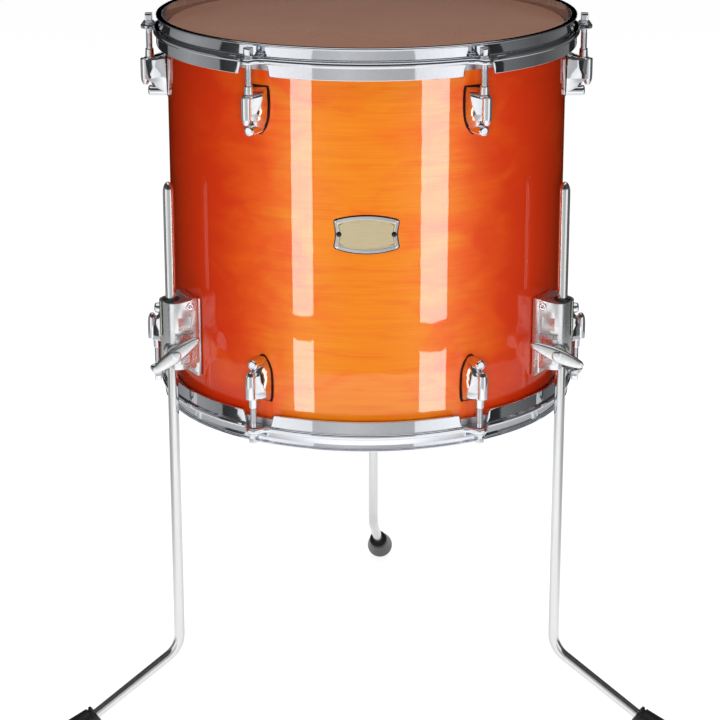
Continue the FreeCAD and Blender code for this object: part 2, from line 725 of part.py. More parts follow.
def make_gasket(label, width, low, high, screw_sides, screw_ups):
    """Curved gasket between the shell and a casting, before it is placed."""
    body = new_body(label)
    inset = S["gasket_inset"]
    face = new_sketch(body, "YZ_Plane")
    half = width / 2 - inset
    outline(face, [
        (-half, low + inset), (half, low + inset), (half, high - inset), (-half, high - inset)])
    add_pad(body, face, S["shell_radius"] + S["gasket_thick"] * 4)
    inside = new_sketch(body, "XY_Plane")
    ring(inside, 0, 0, S["shell_radius"])
    cut_pocket(body, inside, S["shell_height"] * 2, both_ways=True)
    outside = new_sketch(body, "XY_Plane")
    ring(outside, 0, 0, gasket_face)
    ring(outside, 0, 0, S["shell_radius"] * 2)
    cut_pocket(body, outside, S["shell_height"] * 2, both_ways=True)
    holes = new_sketch(body, "YZ_Plane")
    for side in screw_sides:
        for up in screw_ups:
            ring(holes, side, up, S["screw_radius"] + S["screw_hole_gap"])
    cut_pocket(body, holes, S["shell_radius"] + S["gasket_thick"] * 4)
    return body


def make_screw():
    """Screw with its head inside the shell, before it is placed."""
    body = new_body("shell_screw")
    sketch = new_sketch(body, "XY_Plane")
    seat = inner_radius - S["washer_seat"] - S["flat_washer_thick"]
    top = seat - S["screw_head_height"]
    edge = S["screw_head_edge"]
    outline(sketch, [
        (top, 0), (top, S["screw_head_radius"] - edge), (top + edge, S["screw_head_radius"]),
        (seat, S["screw_head_radius"]), (seat, S["screw_radius"]),
        (S["shell_radius"] + S["screw_bite"], S["screw_radius"]),
        (S["shell_radius"] + S["screw_bite"], 0)])
    revolve(body, sketch, "H_Axis")
    return body


def make_flat_washer():
    """Washer under a shell screw's head, before it is placed."""
    body = new_body("flat_washer")
    sketch = new_sketch(body, "XY_Plane")
    face = inner_radius - S["washer_seat"]
    hole = S["screw_radius"] + S["screw_hole_gap"]
    outline(sketch, [
        (face - S["flat_washer_thick"], hole), (face - S["flat_washer_thick"], S["flat_washer_radius"]),
        (face, S["flat_washer_radius"]), (face, hole)])
    revolve(body, sketch, "H_Axis")
    return body


# Leg brackets

bolt_level = -bracket_top - S["bolt_fall"]
bush_outer = S["leg_radius"] + S["running_gap"] + S["bush_wall"]
block_front = S["shell_radius"] + S["bracket_reach"]
corner_out = (block_front, S["block_nose"])
corner_back = (block_front - S["block_corner"], S["bracket_width"] / 2)
socket_place = (gasket_face + S["socket_out"], -bracket_top - S["socket_fall"])


def bolt_rotation(side):
    """Turns +Z to the wing bolt's axis in the bracket's frame."""
    turn = math.radians(S["bolt_turn"].number)
    axis = Vector(math.sin(turn), side * math.cos(turn), 0)
    across = Vector(math.cos(turn), -side * math.sin(turn), 0)
    return Rotation(across, axis.cross(across), axis, "ZXY")


def along_bolt(distance, side):
    return (leg_circle + distance * sine(S["bolt_turn"]),
            side * distance * cosine(S["bolt_turn"]), bolt_level)


def make_bracket(label, polar, side):
    """Cast clamp block on a base plate, with a boss for the wing bolt."""
    body = new_body(label + "_block")
    base = new_sketch(body, "XY_Plane", -bracket_bottom - S["base_under"])
    half = S["base_width"] / 2
    plate = gasket_face + S["base_thick"]
    edge = S["base_chamfer"]
    root = S["shell_radius"] - S["casting_overlap"]
    outline(base, [(root, -half), (plate - edge, -half), (plate, edge - half),
                   (plate, half - edge), (plate - edge, half), (root, half)])
    add_pad(body, base, S["bracket_height"] + S["base_under"] + S["base_over"])
    block = new_sketch(body, "XY_Plane", -bracket_bottom)
    half = S["bracket_width"] / 2
    edge = S["block_chamfer"]
    outline(block, [
        (root, -side * half), (corner_back[0], -side * half), (corner_out[0], -side * corner_out[1]),
        (block_front, side * (half - edge)), (block_front - edge, side * half), (root, side * half)])
    add_pad(body, block, S["bracket_height"])
    seat = new_sketch(body, "XY_Plane")
    ring(seat, 0, 0, gasket_face)
    cut_pocket(body, seat, S["shell_height"], both_ways=True)
    threads = new_sketch(body, "YZ_Plane")
    for across in bracket_screw_sides:
        for up in bracket_screw_ups:
            ring(threads, across, up, S["screw_radius"] + S["running_gap"])
    cut_pocket(body, threads, S["shell_radius"] + S["screw_bite"] + S["thread_past"])
    boss = cylinder(label + "_boss", S["boss_radius"], S["boss_reach"] - bush_outer,
                    along_bolt(bush_outer, side), bolt_rotation(side))
    solid = fuse(label + "_solid", [body, boss])
    face = side * half
    deep = S["recess_depth"]
    past = S["cut_past"]
    recess_foot = -bracket_top - S["recess_fall"] - S["recess_height"]
    gap_foot = -bracket_top - S["gap_fall"] - S["gap_height"]
    tools = [
        cylinder(label + "_bore", bush_outer + S["running_gap"], S["bracket_height"] + past * 2,
                 (leg_circle, 0, -bracket_bottom - past)),
        cylinder(label + "_thread", S["bolt_radius"] + S["running_gap"], S["boss_reach"] + past,
                 (leg_circle, 0, bolt_level), bolt_rotation(side)),
        box(label + "_recess", S["recess_length"], deep * 2, S["recess_height"],
            (gasket_face + S["recess_start"], face - deep, recess_foot)),
        box(label + "_gap", S["gap_length"], deep * 2, S["gap_height"],
            (gasket_face + S["recess_start"], face - deep, gap_foot)),
        cylinder(label + "_socket_seat", S["socket_shank_radius"], S["socket_length"],
                 (socket_place[0], face - side * (S["socket_length"] - S["socket_rise"]),
                  socket_place[1]), Rotation(Vector(1, 0, 0), -90 * side)),
    ]
    return keep(stand(cut(label, solid, fuse(label + "_tools", tools)), polar))


def make_socket_screw(label, side):
    """Socket screw in the block's side face, drawn in the bracket's frame."""
    face = side * S["bracket_width"] / 2
    spin = Rotation(Vector(1, 0, 0), -90 * side)
    out, up = socket_place
    head = cylinder(label + "_head", S["socket_radius"], S["socket_rise"], (out, face, up), spin)
    shank_length = S["socket_length"] - S["socket_rise"]
    shank = cylinder(label + "_shank", S["socket_shank_radius"], shank_length,
                     (out, face - side * shank_length, up), spin)
    return fuse(label, [head, shank])


def make_jaw(label, polar, side):
    """Curved clamp jaw over the block's back outer corner."""
    body = new_body(label)
    sketch = new_sketch(body, "XY_Plane", -bracket_top - S["jaw_height"])
    out = S["jaw_out"] * S["jaw_thick"]
    across = S["jaw_across"] * S["jaw_thick"]
    outline(sketch, [
        (corner_out[0], -side * corner_out[1]), (corner_back[0], -side * corner_back[1]),
        (corner_back[0] + out, -side * (corner_back[1] + across), side * S["jaw_curve"]),
        (corner_out[0] + out, -side * (corner_out[1] + across))])
    add_pad(body, sketch, S["jaw_height"])
    return keep(stand(body, polar))


def make_jaw_pin(side):
    """Pin below the jaw with its nut under the block, drawn in the bracket's frame."""
    across = -side * (corner_out[1] + corner_back[1] + S["pin_offset"] * S["jaw_across"]) / 2
    out = (corner_out[0] + corner_back[0] + S["pin_offset"] * S["jaw_out"]) / 2
    top = -bracket_top - S["jaw_height"]
    name = "jaw_pin_" + ("a" if side > 0 else "b")
    pin = cylinder(name + "_shank", S["pin_radius"], S["pin_length"] - S["jaw_height"],
                   (out, across, top - S["pin_length"] + S["jaw_height"]))
    nut = doc.addObject("Part::Prism", name + "_nut")
    bind(nut, "Circumradius", S["pin_nut_radius"])
    bind(nut, "Height", S["pin_nut_height"])
    put(nut, (out, across, -bracket_bottom - S["pin_nut_gap"] - S["pin_nut_height"]), Rotation())
    return fuse(name, [pin, nut])


def make_bush(label, polar, heading):
    """Split nylon bush with a collar, on the leg's axis."""
    body = new_body(label)
    sketch = new_sketch(body, "XZ_Plane")
    bore = S["leg_radius"] + S["running_gap"]
    seat = S["running_gap"] - bracket_top
    top = seat + S["bush_collar_height"]
    wide, edge = S["bush_collar_radius"], S["bush_collar_edge"]
    outline(sketch, [
        (bore, -bracket_bottom), (bush_outer, -bracket_bottom), (bush_outer, seat),
        (wide, seat), (wide, top - edge), (wide - edge, top), (bore, top)])
    revolve(body, sketch)
    slit = new_sketch(body, "XY_Plane", -bracket_bottom - S["cut_past"])
    half = S["bush_slit"] / 2
    far = wide + S["cut_past"]
    outline(slit, [(-half, -half), (-half, half), (-far, half), (-far, -half)])
    cut_pocket(body, slit, S["bracket_height"] + S["cut_past"] * 2)
    return keep(stand(body, polar, radius=leg_circle, heading=heading))


def make_wing_bolt(label, polar, side, tilt):
    """Wing bolt along +Z from the leg's axis, with its wings along X."""
    near = bush_outer + S["bolt_tip_gap"]
    washer = S["boss_reach"] + S["hub_gap"]
    hub = washer + S["bolt_washer_thick"]
    body = new_body(label)
    sketch = new_sketch(body, "XZ_Plane")
    point, edge = S["bolt_point"], S["hub_edge"]
    wide = S["hub_radius"] + S["bolt_washer_over"]
    end = hub + S["hub_length"]
    outline(sketch, [
        (0, near), (S["bolt_radius"] - point, near), (S["bolt_radius"], near + point),
        (S["bolt_radius"], washer), (wide, washer), (wide, hub), (S["hub_radius"], hub),
        (S["hub_radius"], end - edge), (S["hub_radius"] - edge, end), (0, end)])
    revolve(body, sketch)
    wing = new_sketch(body, "XY_Plane", hub + (S["hub_length"] - S["wing_thick"]) / 2)
    reach = S["wing_span"] / 2 - S["wing_tip"] / 2
    root, tip = S["wing_root"] / 2, S["wing_tip"] / 2
    outline(wing, [(-reach, tip, "round"), (-reach, -tip), (0, -root),
                   (reach, -tip, "round"), (reach, tip), (0, root)])
    add_pad(body, wing, S["wing_thick"])
    spin = Rotation(Vector(0, 0, 1), polar.number - 90)
    turn = spin.multiply(bolt_rotation(side)).multiply(Rotation(Vector(0, 0, 1), side * tilt.number))
    put(body, (leg_circle * sine(polar), axis_y - leg_circle * cosine(polar),
               S["floor_drop"] + bolt_level), turn)
    return keep(body)


# Legs and feet, drawn with the leg's axis on Z and the bend towards +X

bend_level = S["bend_height"] - S["floor_drop"]
down_run = Rotation(Vector(0, 1, 0), 180 - S["leg_tilt"].number)


def on_run(distance):
    return (distance * sine(S["leg_tilt"]), 0, bend_level - distance * cosine(S["leg_tilt"]))


def make_leg(label, polar, heading):
    """Bent leg rod with a domed top."""
    upright = cylinder(label + "_upright", S["leg_radius"], S["leg_rise"] - S["leg_radius"] - bend_level
                       - bend_trim, (0, 0, bend_level + bend_trim))
    dome = sphere(label + "_dome", S["leg_radius"], (0, 0, S["leg_rise"] - S["leg_radius"]))
    bend = doc.addObject("Part::Torus", label + "_bend")
    bind(bend, "Radius1", S["bend_radius"])
    bind(bend, "Radius2", S["leg_radius"])
    bind(bend, "Angle3", S["leg_tilt"])
    put(bend, (S["bend_radius"], 0, bend_level + bend_trim),
        Rotation(Vector(-1, 0, 0), Vector(0, 0, -1), Vector(0, -1, 0), "ZXY"))
    run = cylinder(label + "_run", S["leg_radius"], run_length - bend_trim - S["foot_end_wall"],
                   on_run(bend_trim), down_run)
    leg = fuse(label, [upright, dome, bend, run])
    return keep(stand(leg, polar, radius=leg_circle, heading=heading))


def make_foot(label, polar, heading):
    """Tapered rubber foot with a rounded end, a groove and a flat where it meets the floor."""
    near = run_length - S["foot_length"]
    groove_start = on_run(near + S["foot_groove_start"])
    body = cone(label + "_taper", S["foot_neck_radius"], S["foot_radius"], S["foot_length"],
                on_run(near), down_run)
    end = sphere(label + "_end", S["foot_radius"], on_run(run_length))
    ring_outer = cylinder(label + "_ring_outer", S["foot_radius"] * 2, S["foot_groove_width"],
                          groove_start, down_run)
    ring_inner = cylinder(label + "_ring_inner", S["foot_neck_radius"] - S["foot_groove"],
                          S["foot_groove_width"], groove_start, down_run)
    tools = [
        cut(label + "_ring", ring_outer, ring_inner),
        cylinder(label + "_bore", S["leg_radius"], S["foot_length"] - S["foot_end_wall"],
                 on_run(near), down_run),
        box(label + "_floor", S["foot_radius"] * 4, S["foot_radius"] * 4, S["foot_radius"],
            (foot_run - S["foot_radius"] * 2, -2 * S["foot_radius"],
             -S["floor_drop"] - S["foot_radius"])),
    ]
    foot = cut(label, fuse(label + "_solid", [body, end]), fuse(label + "_tools", tools))
    return keep(stand(foot, polar, radius=leg_circle, heading=heading))


# Badge and rivets

def make_badge():
    """Thin plate curved to the shell, arched above and below, with sides that curve in."""
    body = new_body("badge")
    face = new_sketch(body, "YZ_Plane")
    across, side_up = S["badge_width"] / 2, S["badge_side_height"] / 2
    rise = (S["badge_height"] - S["badge_side_height"]) / 2
    arch = (across * across + rise * rise) / (2 * rise)
    waist = (side_up * side_up + S["badge_waist"] * S["badge_waist"]) / (2 * S["badge_waist"])
    middle = S["badge_rise"]
    outline(face, [
        (-across, middle - side_up, arch), (across, middle - side_up, -waist),
        (across, middle + side_up, arch), (-across, middle + side_up, -waist)])
    add_pad(body, face, S["shell_radius"] + S["cut_past"])
    inside = new_sketch(body, "XY_Plane")
    ring(inside, 0, 0, S["shell_radius"])
    cut_pocket(body, inside, S["shell_height"], both_ways=True)
    outside = new_sketch(body, "XY_Plane")
    ring(outside, 0, 0, S["shell_radius"] + S["badge_thick"])
    ring(outside, 0, 0, S["shell_radius"] * 2)
    cut_pocket(body, outside, S["shell_height"], both_ways=True)
    holes = new_sketch(body, "YZ_Plane")
    for side in (-1, 1):
        ring(holes, side * S["rivet_spacing"] / 2, middle, S["rivet_radius"])
    cut_pocket(body, holes, S["shell_radius"] + S["cut_past"])
    return keep(stand(body, 0))


def make_rivet():
    """Badge rivet with a low domed head, before it is placed."""
    body = new_body("badge_rivet")
    sketch = new_sketch(body, "XY_Plane")
    # the plate curves away, so the head rests on it by its inner edge
    inner_edge = S["rivet_spacing"] / 2 - S["rivet_head_radius"]
    seat = S["shell_radius"] + S["badge_thick"] - inner_edge * inner_edge / (2 * S["shell_radius"])
    tip = seat - S["badge_thick"] - S["shell_wall"] - S["rivet_head_height"] * 2
    outline(sketch, [
        (tip, 0), (tip, S["rivet_radius"]), (seat, S["rivet_radius"]),
        (seat, S["rivet_head_radius"]), (seat + S["rivet_head_height"], S["rivet_radius"]),
        (seat + S["rivet_head_height"], 0)])
    revolve(body, sketch, "H_Axis")
    return body


# The drum

make_shell()
for end_name, flipped in (("top", False), ("bottom", True)):
    make_head("head_" + end_name, flipped)
    make_flesh_hoop("flesh_hoop_" + end_name, flipped)
    make_hoop("hoop_" + end_name, flipped)
    for number, angle in enumerate(LUG_ANGLES, start=1):
        make_lug("lug_" + end_name + "_" + str(number), angle, flipped)
        make_rod("tension_rod_" + end_name + "_" + str(number), angle, flipped)

lug_places = [place_of(angle, flipped) for angle in LUG_ANGLES for flipped in (False, True)]
lug_screw_places = [place_of(angle, flipped, 0, up) for angle in LUG_ANGLES
                    for flipped in (False, True) for up in lug_screw_ups]
bracket_places = [place_of(row[0]) for row in SIDES.values()]
# beside the bracket's middle the hollow wall comes nearer, so those washers lie further in
wall_nearer = (bracket_screw_side * (bracket_screw_side + S["flat_washer_radius"] * 2)
               / (2 * inner_radius))
bracket_screw_places = [place_of(row[0], False, across, up, -wall_nearer) for row in SIDES.values()
                        for across in bracket_screw_sides for up in bracket_screw_ups]
keep(group("swivel_nuts", make_nut(), lug_places))
keep(group("rod_washers", make_washer(), lug_places))
keep(group("lug_gaskets", make_gasket(
    "lug_gasket", S["lug_width"], lug_bottom + S["lug_gasket_rise"], lug_top, [0], lug_screw_ups),
    lug_places))
keep(group("bracket_gaskets", make_gasket(
    "bracket_gasket", S["base_width"], -bracket_bottom - S["base_under"],
    S["base_over"] - bracket_top, bracket_screw_sides, bracket_screw_ups), bracket_places))
shell_screw = make_screw()
keep(group("lug_screws", shell_screw, lug_screw_places))
keep(group("bracket_screws", shell_screw, bracket_screw_places))
keep(group("shell_washers", make_flat_washer(), lug_screw_places + bracket_screw_places))

jaw_pins = {side: make_jaw_pin(side) for side in (1, -1)}
socket_screws = {
    1: make_socket_screw("socket_screw_a", 1),
    -1: make_socket_screw("socket_screw_b", -1),
}
for side_name, (polar, heading, side, tilt) in SIDES.items():
    make_bracket("leg_bracket_" + side_name, polar, side)
    make_jaw("clamp_jaw_" + side_name, polar, side)
    make_bush("leg_bush_" + side_name, polar, heading)
    make_wing_bolt("wing_bolt_" + side_name, polar, side, tilt)
    make_leg("leg_" + side_name, polar, heading)
    make_foot("foot_" + side_name, polar, heading)


def gather(label, masters):
    """A group whose copies differ with the side that their bracket faces."""
    doc.recompute()
    gathered = doc.addObject("Part::Feature", label)
    gathered.Label = label
    copies = []
    for polar, heading, side, tilt in SIDES.values():
        copy = masters[side].Shape.copy()
        copy.Placement = place_of(polar).multiply(copy.Placement)
        copies.append(copy)
    gathered.Shape = Part.makeCompound(copies)
    return keep(gathered)


gather("jaw_pins", jaw_pins)
gather("socket_screws", socket_screws)
make_badge()
keep(group("badge_rivets", make_rivet(), [
    place_of(0, False, side * S["rivet_spacing"] / 2, S["badge_rise"]) for side in (-1, 1)]))

doc.recompute()
for item in doc.Objects:
    if "Invalid" in item.State or "Error" in item.State:
        raise RuntimeError(item.Label + " failed: " + str(item.State))
for item in NODES:
    if item.Shape.isNull() or not item.Shape.isValid() or not item.Shape.Solids:
        raise RuntimeError(item.Label + " has no sound shape")
os.makedirs("parts", exist_ok=True)
for item in NODES:
    item.Shape.exportStep("parts/" + item.Label + ".step")
whole = Part.makeCompound([item.Shape for item in NODES]).BoundBox
print(len(NODES), "nodes; box", whole)
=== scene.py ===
# Floor tom drum: lacquered maple shell under chromed hoops, with three bent legs in clamp brackets.
# Sizes are millimetres, measured from the middle of the shell; X runs out from the drum's axis.

import math

import bmesh
import bpy
from mathutils import Matrix, Vector


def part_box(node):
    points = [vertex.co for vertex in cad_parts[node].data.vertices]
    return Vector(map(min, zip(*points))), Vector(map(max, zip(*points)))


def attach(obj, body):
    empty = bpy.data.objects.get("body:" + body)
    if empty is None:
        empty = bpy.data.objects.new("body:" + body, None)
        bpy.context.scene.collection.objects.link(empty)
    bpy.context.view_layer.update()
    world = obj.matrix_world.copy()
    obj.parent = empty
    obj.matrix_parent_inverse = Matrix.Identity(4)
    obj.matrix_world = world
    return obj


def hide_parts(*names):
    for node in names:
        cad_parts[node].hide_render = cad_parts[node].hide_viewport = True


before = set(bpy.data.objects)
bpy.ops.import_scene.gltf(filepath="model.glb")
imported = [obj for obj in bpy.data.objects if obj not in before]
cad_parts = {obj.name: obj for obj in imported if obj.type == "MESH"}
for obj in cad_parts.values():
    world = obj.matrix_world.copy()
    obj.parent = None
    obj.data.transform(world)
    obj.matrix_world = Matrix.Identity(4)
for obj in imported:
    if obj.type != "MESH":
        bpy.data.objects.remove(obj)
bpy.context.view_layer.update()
mm = 0.001
shellLow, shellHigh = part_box("shell")
drumMiddle = (shellLow + shellHigh) / 2
floorLevel = -drumMiddle.z / mm
lugAngles = [30, 90, 150, 210, 270, 330]  # 0 is the front, towards +X as it grows
print("frame loaded")


# Small tools for meshes

def placeAt(polar, flipped=False):
    spin = Matrix.Rotation(math.radians(polar - 90), 4, "Z")
    if flipped:
        spin = spin @ Matrix.Rotation(math.pi, 4, "X")
    return Matrix.Translation(drumMiddle) @ spin @ Matrix.Scale(mm, 4)


def rounded(corners, segments=4):
    # a third number on a corner is the size of its rounding
    line = []
    for i, corner in enumerate(corners):
        here = Vector(corner[:2])
        before = Vector(corners[i - 1][:2]) - here
        after = Vector(corners[(i + 1) % len(corners)][:2]) - here
        size = corner[2] if len(corner) > 2 else 0
        if not size:
            line.append(here)
            continue
        reach = [min(size, 0.48 * side.length) for side in (before, after)]
        start = here + before.normalized() * reach[0]
        end = here + after.normalized() * reach[1]
        for k in range(segments + 1):
            t = k / segments
            line.append(start.lerp(here, t).lerp(here.lerp(end, t), t))
    return line


def meshOf(name, points, faces, creaseAngle=35):
    mesh = bpy.data.meshes.new(name)
    mesh.from_pydata([tuple(p) for p in points], [], faces)
    work = bmesh.new()
    work.from_mesh(mesh)
    bmesh.ops.remove_doubles(work, verts=work.verts, dist=1e-4)
    bmesh.ops.dissolve_degenerate(work, edges=work.edges, dist=1e-5)
    bmesh.ops.recalc_face_normals(work, faces=work.faces)
    work.to_mesh(mesh)
    work.free()
    return creased(mesh, creaseAngle)


def lofted(name, rings, closedAlong=False, creaseAngle=35, ringOpen=False):
    # rings of equally many points, joined in turn; open ends are filled
    count = len(rings[0])
    points = [p for ring in rings for p in ring]
    faces = []
    steps = len(rings) if closedAlong else len(rings) - 1
    for j in range(steps):
        a, b = j * count, (j + 1) % len(rings) * count
        for i in range(count - 1 if ringOpen else count):
            k = (i + 1) % count
            faces.append((a + i, a + k, b + k, b + i))
    if not closedAlong:
        faces.append(tuple(range(count)))
        faces.append(tuple(range(len(points) - count, len(points))))
    return meshOf(name, points, faces, creaseAngle)


def turned(name, outline, steps, creaseAngle=35):
    rings = []
    for j in range(steps):
        angle = math.tau * j / steps
        rings.append([(p[0] * math.cos(angle), p[0] * math.sin(angle), p[1]) for p in outline])
    onAxis = outline[0][0] == 0 and outline[-1][0] == 0
    return lofted(name, rings, True, creaseAngle, onAxis)


def slab(name, outline, low, high):
    return lofted(name, [[(p[0], p[1], z) for p in outline] for z in (low, high)])


def moved(mesh, matrix):
    mesh.transform(matrix)
    if matrix.determinant() < 0:
        mesh.flip_normals()
    return mesh


def merged(name, meshes):
    work = bmesh.new()
    for mesh in meshes:
        work.from_mesh(mesh)
    whole = bpy.data.meshes.new(name)
    work.to_mesh(whole)
    work.free()
    for mesh in meshes:
        bpy.data.meshes.remove(mesh)
    return whole


def linked(name, data):
    item = bpy.data.objects.new(name, data)
    bpy.context.scene.collection.objects.link(item)
    return item


def addModifier(holder, kind, settings):
    modifier = holder.modifiers.new(kind, kind)
    for key, value in settings.items():
        setattr(modifier, key, value)
    return modifier


def plainMesh(holder):
    # what the holder's modifiers make of it, as a plain mesh; the holder goes
    bpy.context.view_layer.update()
    evaluated = holder.evaluated_get(bpy.context.evaluated_depsgraph_get())
    result = bpy.data.meshes.new_from_object(evaluated)
    result.name = holder.name
    bpy.data.objects.remove(holder)
    return result


def creased(mesh, angle):
    mesh.shade_smooth()
    mesh.set_sharp_from_angle(angle=math.radians(angle))
    return mesh


def bevelled(mesh, width, segments, creaseAngle=None, edgeAngle=30):
    holder = linked(mesh.name, mesh)
    addModifier(holder, "BEVEL", {"width": width, "segments": segments, "limit_method": "ANGLE",
                                  "angle_limit": math.radians(edgeAngle)})
    result = plainMesh(holder)
    return creased(result, creaseAngle) if creaseAngle else result


def addPiece(name, mesh, body, slotName, finishes, nodes):
    if mesh.materials:
        mesh.materials.clear()
    for finish in finishes:
        mesh.materials.append(finish)
    piece = linked(name, mesh)
    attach(piece, body)
    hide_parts(*nodes)
    lit = {"shell_lacquer": lacquerOnly, "head_film": headsOnly}.get(slotName, allButLacquer)
    lit.objects.link(piece)


# Materials

def colour(code):
    parts = [int(code[i:i + 2], 16) / 255 for i in (1, 3, 5)]
    return tuple(((c + 0.055) / 1.055) ** 2.4 if c > 0.04045 else c / 12.92 for c in parts) + (1.0,)


def addNode(tree, kind, settings=None, inputs=None):
    node = tree.nodes.new(kind)
    for key, value in (settings or {}).items():
        setattr(node, key, value)
    for key, value in (inputs or {}).items():
        if isinstance(value, tuple) and isinstance(value[0], bpy.types.Node):
            tree.links.new(value[0].outputs[value[1]], node.inputs[key])
        else:
            node.inputs[key].default_value = value
    return node


def feed(tree, shader, links):
    for key, (node, output) in links.items():
        tree.links.new(node.outputs[output], shader.inputs[key])


def newMaterial(name, constants):
    material = bpy.data.materials.new(name)
    material.use_nodes = True
    tree = material.node_tree
    shader = tree.nodes["Principled BSDF"]
    for key, value in constants.items():
        shader.inputs[key].default_value = value
    where = addNode(tree, "ShaderNodeTexCoord")
    centred = addNode(tree, "ShaderNodeMapping", {"vector_type": "POINT"}, {
        "Vector": (where, "Object"), "Location": tuple(-drumMiddle)})
    return material, tree, shader, centred


def lacqueredMaple():
    # maple veneer under stained gloss lacquer: cloudy amber figure below a clear wet-looking skin;
    # painted shade goes round the shell three times, amber in the middle of each third and redder and
    # darker towards its ends, standing in for the light falling off towards the drum's sides
    look = {
        "amber": "#ffa41a", "orange": "#ff6f0f", "ember": "#f0400f",
        "paintedShadeRepeats": 3, "drift": 0.42,  # how far the clouds move the painted shade's colours
        "cloudWidth": 62, "cloudHeight": 34,  # figure, mm
        "flameWidth": 80, "flameHeight": 8, "flame": 0.30,  # curl across the grain, mm
        "fibreWidth": 55, "fibreHeight": 1.0, "fibre": 0.20,  # coarser than real fibres, to show
    }
    material, tree, shader, centred = newMaterial("lacqueredMaple", {
        "Roughness": 0.5, "Coat Weight": 1.0, "Coat Roughness": 0.025, "Coat IOR": 1.42,
        "Coat Tint": (1.0, 0.76, 0.45, 1.0)})
    noises = []
    for width, height, detail, twist in (("cloudWidth", "cloudHeight", 3.0, 0.9),
                                         ("flameWidth", "flameHeight", 2.0, 1.6),
                                         ("fibreWidth", "fibreHeight", 2.0, 0.2)):
        stretch = addNode(tree, "ShaderNodeMapping", {"vector_type": "POINT"}, {
            "Vector": (centred, "Vector"),
            "Scale": (1 / (look[width] * mm), 1 / (look[width] * mm), 1 / (look[height] * mm))})
        noises.append(addNode(tree, "ShaderNodeTexNoise", {}, {
            "Vector": (stretch, "Vector"), "Scale": 1.0, "Detail": detail, "Roughness": 0.5,
            "Distortion": twist}))
    # painted shade: amber where the shell faces the front, redder and darker towards 60 degrees either
    # side, repeated three times round the shell
    place = addNode(tree, "ShaderNodeSeparateXYZ", {}, {"Vector": (centred, "Vector")})
    back = addNode(tree, "ShaderNodeMath", {"operation": "MULTIPLY"}, {0: (place, "Y"), 1: -1.0})
    bearing = addNode(tree, "ShaderNodeMath", {"operation": "ARCTAN2"}, {
        0: (place, "X"), 1: (back, "Value")})
    turns = addNode(tree, "ShaderNodeMath", {"operation": "MULTIPLY"}, {
        0: (bearing, "Value"), 1: look["paintedShadeRepeats"]})
    wave = addNode(tree, "ShaderNodeMath", {"operation": "COSINE"}, {0: (turns, "Value")})
    leaf = addNode(tree, "ShaderNodeMapRange", {}, {
        "Value": (wave, "Value"), "From Min": 1.0, "From Max": -1.0})
    drift = addNode(tree, "ShaderNodeMapRange", {}, {
        "Value": (noises[0], "Fac"), "From Min": 0.3, "From Max": 0.7,
        "To Min": -look["drift"] / 2, "To Max": look["drift"] / 2})
    paintedShadeAndFigure = addNode(tree, "ShaderNodeMath", {"operation": "ADD"}, {
        0: (leaf, "Result"), 1: (drift, "Result")})
    # the first two shares paint the side shade, moved by the clouds; the last two add the flame and
    # fibre figure
    shares = [(paintedShadeAndFigure, 0.0, 0.55, 1.0), (paintedShadeAndFigure, 0.40, 0.95, 1.0), (noises[1], 0.45, 0.78, look["flame"]),
              (noises[2], 0.3, 0.7, look["fibre"])]
    tone = None
    for (source, low, high, most), shade in zip(shares, ("orange", "ember", "ember", "ember")):
        share = addNode(tree, "ShaderNodeMapRange", {"interpolation_type": "SMOOTHSTEP"}, {
            "Value": (source, 0), "From Min": low, "From Max": high, "To Max": most})
        tone = addNode(tree, "ShaderNodeMix", {"data_type": "RGBA"}, {
            0: (share, "Result"), 6: (tone, 2) if tone else colour(look["amber"]),
            7: colour(look[shade])})
    # lacquer pulls into a faint orange peel about 7 mm across
    peel = addNode(tree, "ShaderNodeTexNoise", {}, {
        "Vector": (centred, "Vector"), "Scale": 1 / (7 * mm), "Detail": 1.0})
    bump = addNode(tree, "ShaderNodeBump", {}, {
        "Height": (peel, "Fac"), "Strength": 0.04, "Distance": 0.4 * mm})
    feed(tree, shader, {"Base Color": (tone, 2), "Coat Normal": (bump, "Normal")})
    return material


def figured(name, constants, tones, size, detail, relief, twist=0.0):
    # a surface whose tone and relief follow one figure, sized across and up in mm
    material, tree, shader, centred = newMaterial(name, constants)
    across, up = 1 / (size[0] * mm), 1 / (size[1] * mm)
    stretch = addNode(tree, "ShaderNodeMapping", {"vector_type": "POINT"}, {
        "Vector": (centred, "Vector"), "Scale": (across, across, up)})
    figure = addNode(tree, "ShaderNodeTexNoise", {}, {
        "Vector": (stretch, "Vector"), "Scale": 1.0, "Detail": detail, "Distortion": twist})
    mixed = addNode(tree, "ShaderNodeMix", {"data_type": "RGBA"}, {
        0: (figure, "Fac"), 6: colour(tones[0]), 7: colour(tones[1])})
    bump = addNode(tree, "ShaderNodeBump", {}, {
        "Height": (figure, "Fac"), "Strength": relief[0], "Distance": relief[1] * mm})
    feed(tree, shader, {"Base Color": (mixed, 2), "Normal": (bump, "Normal")})
    return material


def drumFilm():
    # clear polyester drum head: a thin shiny film, hazy enough to hold a brown cast
    material, tree, shader, centred = newMaterial("polyesterFilm", {
        "Roughness": 0.16, "IOR": 1.5, "Specular IOR Level": 0.45, "Alpha": 0.6})
    haze = addNode(tree, "ShaderNodeTexNoise", {}, {
        "Vector": (centred, "Vector"), "Scale": 1 / (60 * mm), "Detail": 3.0})
    mixed = addNode(tree, "ShaderNodeMix", {"data_type": "RGBA"}, {
        0: (haze, "Fac"), 6: colour("#dda287"), 7: colour("#eeb496")})
    ripple = addNode(tree, "ShaderNodeTexNoise", {}, {
        "Vector": (centred, "Vector"), "Scale": 1 / (22 * mm), "Detail": 1.0})
    bump = addNode(tree, "ShaderNodeBump", {}, {
        "Height": (ripple, "Fac"), "Strength": 0.05, "Distance": 0.4 * mm})
    feed(tree, shader, {"Base Color": (mixed, 2), "Normal": (bump, "Normal")})
    return material


